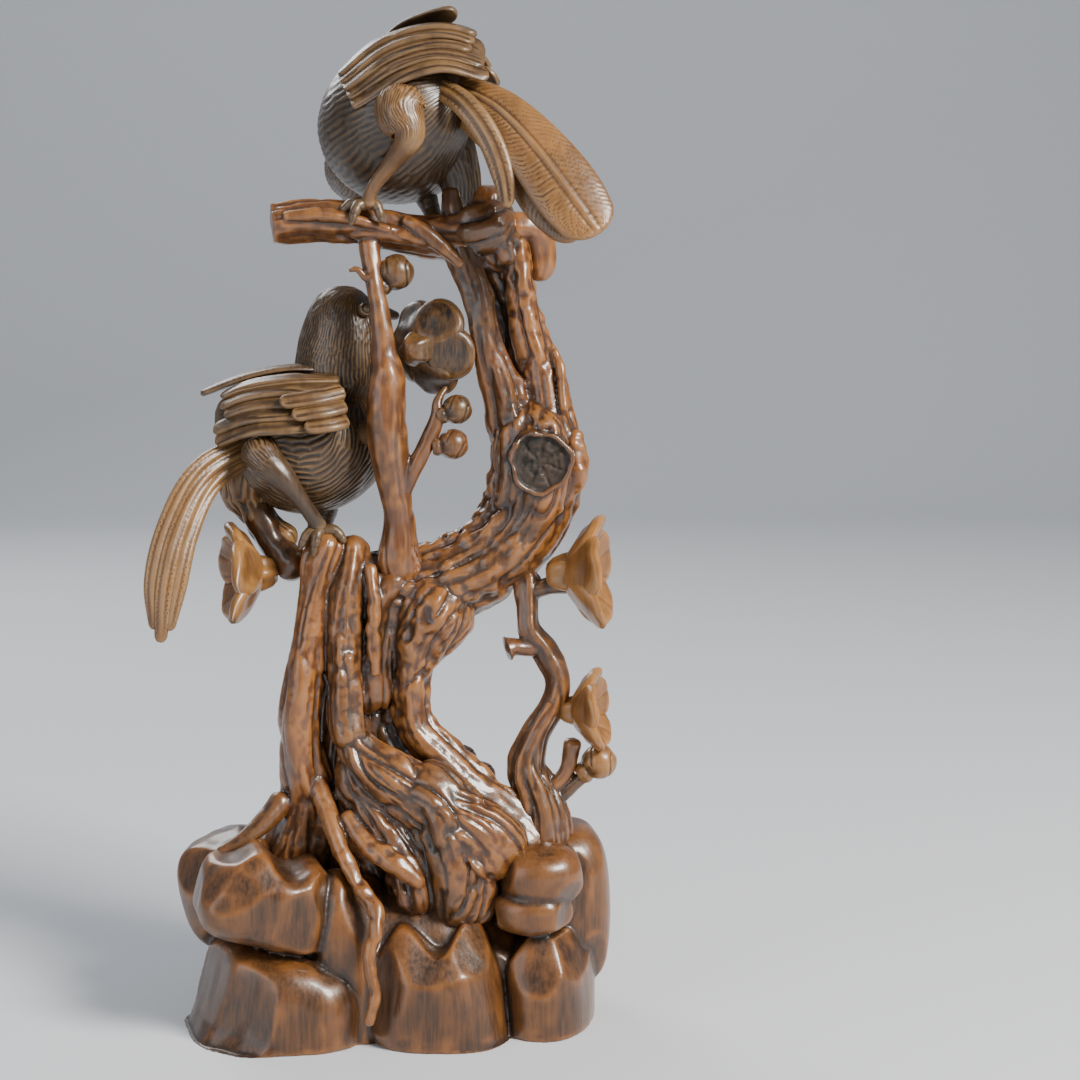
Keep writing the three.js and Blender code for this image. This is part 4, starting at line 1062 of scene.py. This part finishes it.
def make_stain_and_shade_group():
    """Colour, roughness and height of wood with stain and wax, darkened in hollows, creases and cuts by stain and
    painted shade. Fibres run up the block, because it is one block.
    """
    colour, number = "NodeSocketColor", "NodeSocketFloat"
    group, w, given, out = new_group(
        "stain_wax_and_painted_shade",
        [("Wood", colour), ("Rubbed", colour), ("Patch", colour), ("Deep", colour), ("Patches", number),
         ("Wear", number), ("Fibres", number)],
        [("Color", colour), ("Roughness", number), ("Height", number)],
    )
    place = w.node("ShaderNodeTexCoord").outputs["Object"]
    crest, hollow, cut = w.value("crest"), w.value("hollow"), w.value("cut")
    fibre = w.noise(place, 1500, (1, 1, 0.07), 4.0, 0.6)
    streak = w.noise(place, 420, (1, 1, 0.12), 3.0)
    cloud = w.noise(place, 95, (1, 1, 0.55), 3.0)
    drift = w.noise(place, 210, (1, 1, 0.8), 2.0)
    patches = w.math("MULTIPLY", w.span(cloud, 0.42, 0.62), given["Patches"])
    colour_now = w.mix(patches, given["Wood"], given["Patch"])
    streaks = w.math("MULTIPLY", w.span(streak, 0.62, 0.4), given["Fibres"])
    colour_now = w.mix(w.math("MULTIPLY", streaks, 0.55), colour_now, given["Deep"])
    fibres = w.math("MULTIPLY", w.span(fibre, 0.35, 0.65), given["Fibres"])
    colour_now = w.mix(w.math("MULTIPLY", fibres, 0.22), colour_now, given["Rubbed"])
    worn = w.math("MULTIPLY", w.span(crest, 0.5, 0.95), w.span(hollow, 0.75, 0.2))
    worn = w.math("MULTIPLY", worn, w.math("MULTIPLY", w.span(drift, 0.3, 0.6, 0.35, 1.0), given["Wear"]))
    colour_now = w.mix(worn, colour_now, given["Rubbed"])
    # Stain and painted shade: hollows, concave creases and cut grooves are darkened towards the Deep colour, as shade
    # would darken them.
    stain_and_painted_shade = w.math("ADD", w.span(hollow, 0.15, 0.95, 0.0, 0.9), w.span(crest, 0.45, 0.12, 0.0, 0.55), clamp=True)
    stain_and_painted_shade = w.math("ADD", stain_and_painted_shade, w.math("MULTIPLY", cut, 0.2), clamp=True)
    colour_now = w.mix(w.math("MULTIPLY", stain_and_painted_shade, 0.94), colour_now, given["Deep"])
    w.put(colour_now, out["Color"])
    w.put(w.math("ADD", w.span(fibre, 0.2, 0.8, 0.3, 0.46), w.math("MULTIPLY", stain_and_painted_shade, 0.14)), out["Roughness"])
    height = w.math("ADD", w.math("MULTIPLY", fibre, 0.5), w.math("MULTIPLY", w.noise(place, 1100, (1, 1, 1), 2), 0.5))
    w.put(height, out["Height"])
    return group


stain_and_shade_group = make_stain_and_shade_group()
print(stain_and_shade_group.name, "has", len(stain_and_shade_group.nodes), "nodes")

# %% Finishes


def shade(red, green, blue):
    """A colour given as the eye sees it on screen, 0 to 255, as the linear values a shader takes."""
    c = np.array([red, green, blue]) / 255
    linear = np.where(c <= 0.04045, c / 12.92, ((c + 0.055) / 1.055) ** 2.4)
    return (*linear.tolist(), 1.0)


def stained_and_shaded(name, wood, rubbed, patch, deep, light=None, patches=0.6, wear=0.7, fibres=0.6, bump=0.25, wax=0.6,
            gloss=0.16):
    """A finish of its own: the colours of the stain and painted shade group, mixed towards a lighter stain where tone
    says so. The knot's sawn face is scorched to a dull near-black."""
    material = bpy.data.materials.new(name)
    material.use_nodes = True
    tree_nodes = material.node_tree
    tree_nodes.nodes.clear()
    w = Wiring(tree_nodes)
    stain_and_shade = w.node("ShaderNodeGroup", node_tree=stain_and_shade_group)
    for key, value in {"Wood": wood, "Rubbed": rubbed, "Patch": patch, "Deep": deep, "Patches": patches,
                       "Wear": wear, "Fibres": fibres}.items():
        w.put(value, stain_and_shade.inputs[key])
    if light is not None:
        tone = w.value("tone")
        w.put(w.mix(w.span(tone, 0.1, 0.95), wood, light), stain_and_shade.inputs["Wood"])
        w.put(w.math("MULTIPLY", w.span(tone, 0.0, 0.5, 0.4, 1.0), wear), stain_and_shade.inputs["Wear"])
    colour, roughness = stain_and_shade.outputs["Color"], stain_and_shade.outputs["Roughness"]
    if name == "old_bark_wood":
        scorch = w.value("scorch")
        colour = w.mix(w.math("MULTIPLY", scorch, 0.8), colour, shade(26, 23, 18))
        roughness = w.math("ADD", roughness, w.math("MULTIPLY", scorch, 0.35), clamp=True)
        wax = w.span(scorch, 0.0, 1.0, wax, 0.0)
    lifted = w.node("ShaderNodeBump", {"Height": stain_and_shade.outputs["Height"], "Strength": bump, "Distance": 0.0003})
    shader = w.node("ShaderNodeBsdfPrincipled", {
        "Base Color": colour, "Roughness": roughness,
        "Normal": lifted.outputs[0], "Coat Weight": wax, "Coat Roughness": gloss, "Coat IOR": 1.45,
    })
    w.put(shader.outputs[0], w.node("ShaderNodeOutputMaterial").inputs[0])
    return material


# The fourth colour of each finish is the near black of grain streaks and of the painted shade in hollows, creases and
# cuts.
bark_wood = stained_and_shaded("old_bark_wood", shade(50, 32, 16), shade(152, 98, 46), shade(98, 54, 19), shade(12, 8, 6),
                    light=shade(104, 61, 23), patches=0.7, wear=0.7, fibres=0.5, wax=0.7, gloss=0.12)
finishes = {
    "carved_rock": stained_and_shaded("polished_rock_wood", shade(72, 45, 21), shade(138, 86, 38), shade(50, 32, 17),
                           shade(12, 8, 6), patches=0.7, wear=0.7, fibres=0.9, wax=0.5, gloss=0.15),
    "old_trunk": bark_wood,
    "plum_boughs": bark_wood,
    "upper_bird": stained_and_shaded("plumage_wood", shade(44, 31, 19), shade(146, 112, 72), shade(56, 37, 20),
                          shade(12, 9, 6), light=shade(138, 92, 44), patches=0.5, wear=0.7, fibres=0.3, wax=0.3,
                          gloss=0.25),
    "plum_blossoms": stained_and_shaded("petal_wood", shade(28, 18, 11), shade(178, 126, 68), shade(112, 60, 24),
                             shade(16, 11, 7), light=shade(138, 92, 44), patches=0.4, wear=0.5, wax=0.35),
}
finishes["lower_bird"] = finishes["upper_bird"]
for piece in carvings:
    piece.data.materials.clear()
    piece.data.materials.append(finishes[piece.name])
    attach(piece, "root")
    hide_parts("carving")
print(len(finishes), "pieces finished")

# %% [markdown]
# ## Floor and light
# A pale sheet runs under the carving and up behind it in one curve, as in a photographer's studio. The main
# light is a large soft box at the upper right. It is what draws the long lights on the wax.

# %% Studio


def sweep_sheet():
    """A sheet whose profile is flat, then a quarter circle, then upright, drawn out to both sides."""
    turn = np.linspace(0, np.pi / 2, 24)
    y = np.concatenate([[-1.5], 0.9 + 0.5 * np.sin(turn), [1.4]])
    z = np.concatenate([[0], 0.5 - 0.5 * np.cos(turn), [2.2]])
    x = np.array([-2.5, 2.5])
    points = np.stack([np.repeat(x, len(y)), np.tile(y, 2), np.tile(z, 2)], axis=1)
    n = len(y)
    faces = [(i, i + n, i + n + 1, i + 1) for i in range(n - 1)]
    data = bpy.data.meshes.new("studio_sheet")
    data.from_pydata(points.tolist(), [], faces)
    data.polygons.foreach_set("use_smooth", np.ones(len(faces), bool))
    return bpy.data.objects.new("studio_sheet", data)


sheet = sweep_sheet()
bpy.context.scene.collection.objects.link(sheet)
paper = bpy.data.materials.new("pale_paper")
paper.use_nodes = True
paper.node_tree.nodes["Principled BSDF"].inputs["Base Color"].default_value = shade(206, 209, 214)
paper.node_tree.nodes["Principled BSDF"].inputs["Roughness"].default_value = 0.85
sheet.data.materials.append(paper)


def soft_box(name, place, target, size, power, warmth):
    """A square area light at a place in metres, turned to the target."""
    data = bpy.data.lights.new(name, "AREA")
    data.size = size
    data.energy = power
    data.color = warmth
    light = bpy.data.objects.new(name, data)
    towards = np.array(target) - np.array(place)
    flat = math.hypot(towards[0], towards[1])
    light.location = place
    light.rotation_euler = (math.atan2(flat, -towards[2]), 0, math.atan2(towards[1], towards[0]) - math.pi / 2)
    bpy.context.scene.collection.objects.link(light)


MIDDLE = (0, 0, 0.1)
soft_box("main_light", (0.55, -0.5, 0.6), MIDDLE, 0.3, 17, (1.0, 0.96, 0.9))
soft_box("fill_light", (-0.7, -0.6, 0.35), MIDDLE, 0.7, 3, (0.9, 0.95, 1.0))
soft_box("back_light", (-0.35, 0.6, 0.6), MIDDLE, 0.4, 3.5, (1.0, 1.0, 1.0))
world = bpy.data.worlds.new("room_light")
world.use_nodes = True
world.node_tree.nodes["Background"].inputs["Color"].default_value = (0.75, 0.8, 0.88, 1)
world.node_tree.nodes["Background"].inputs["Strength"].default_value = 0.35
bpy.context.scene.world = world
print("studio ready")
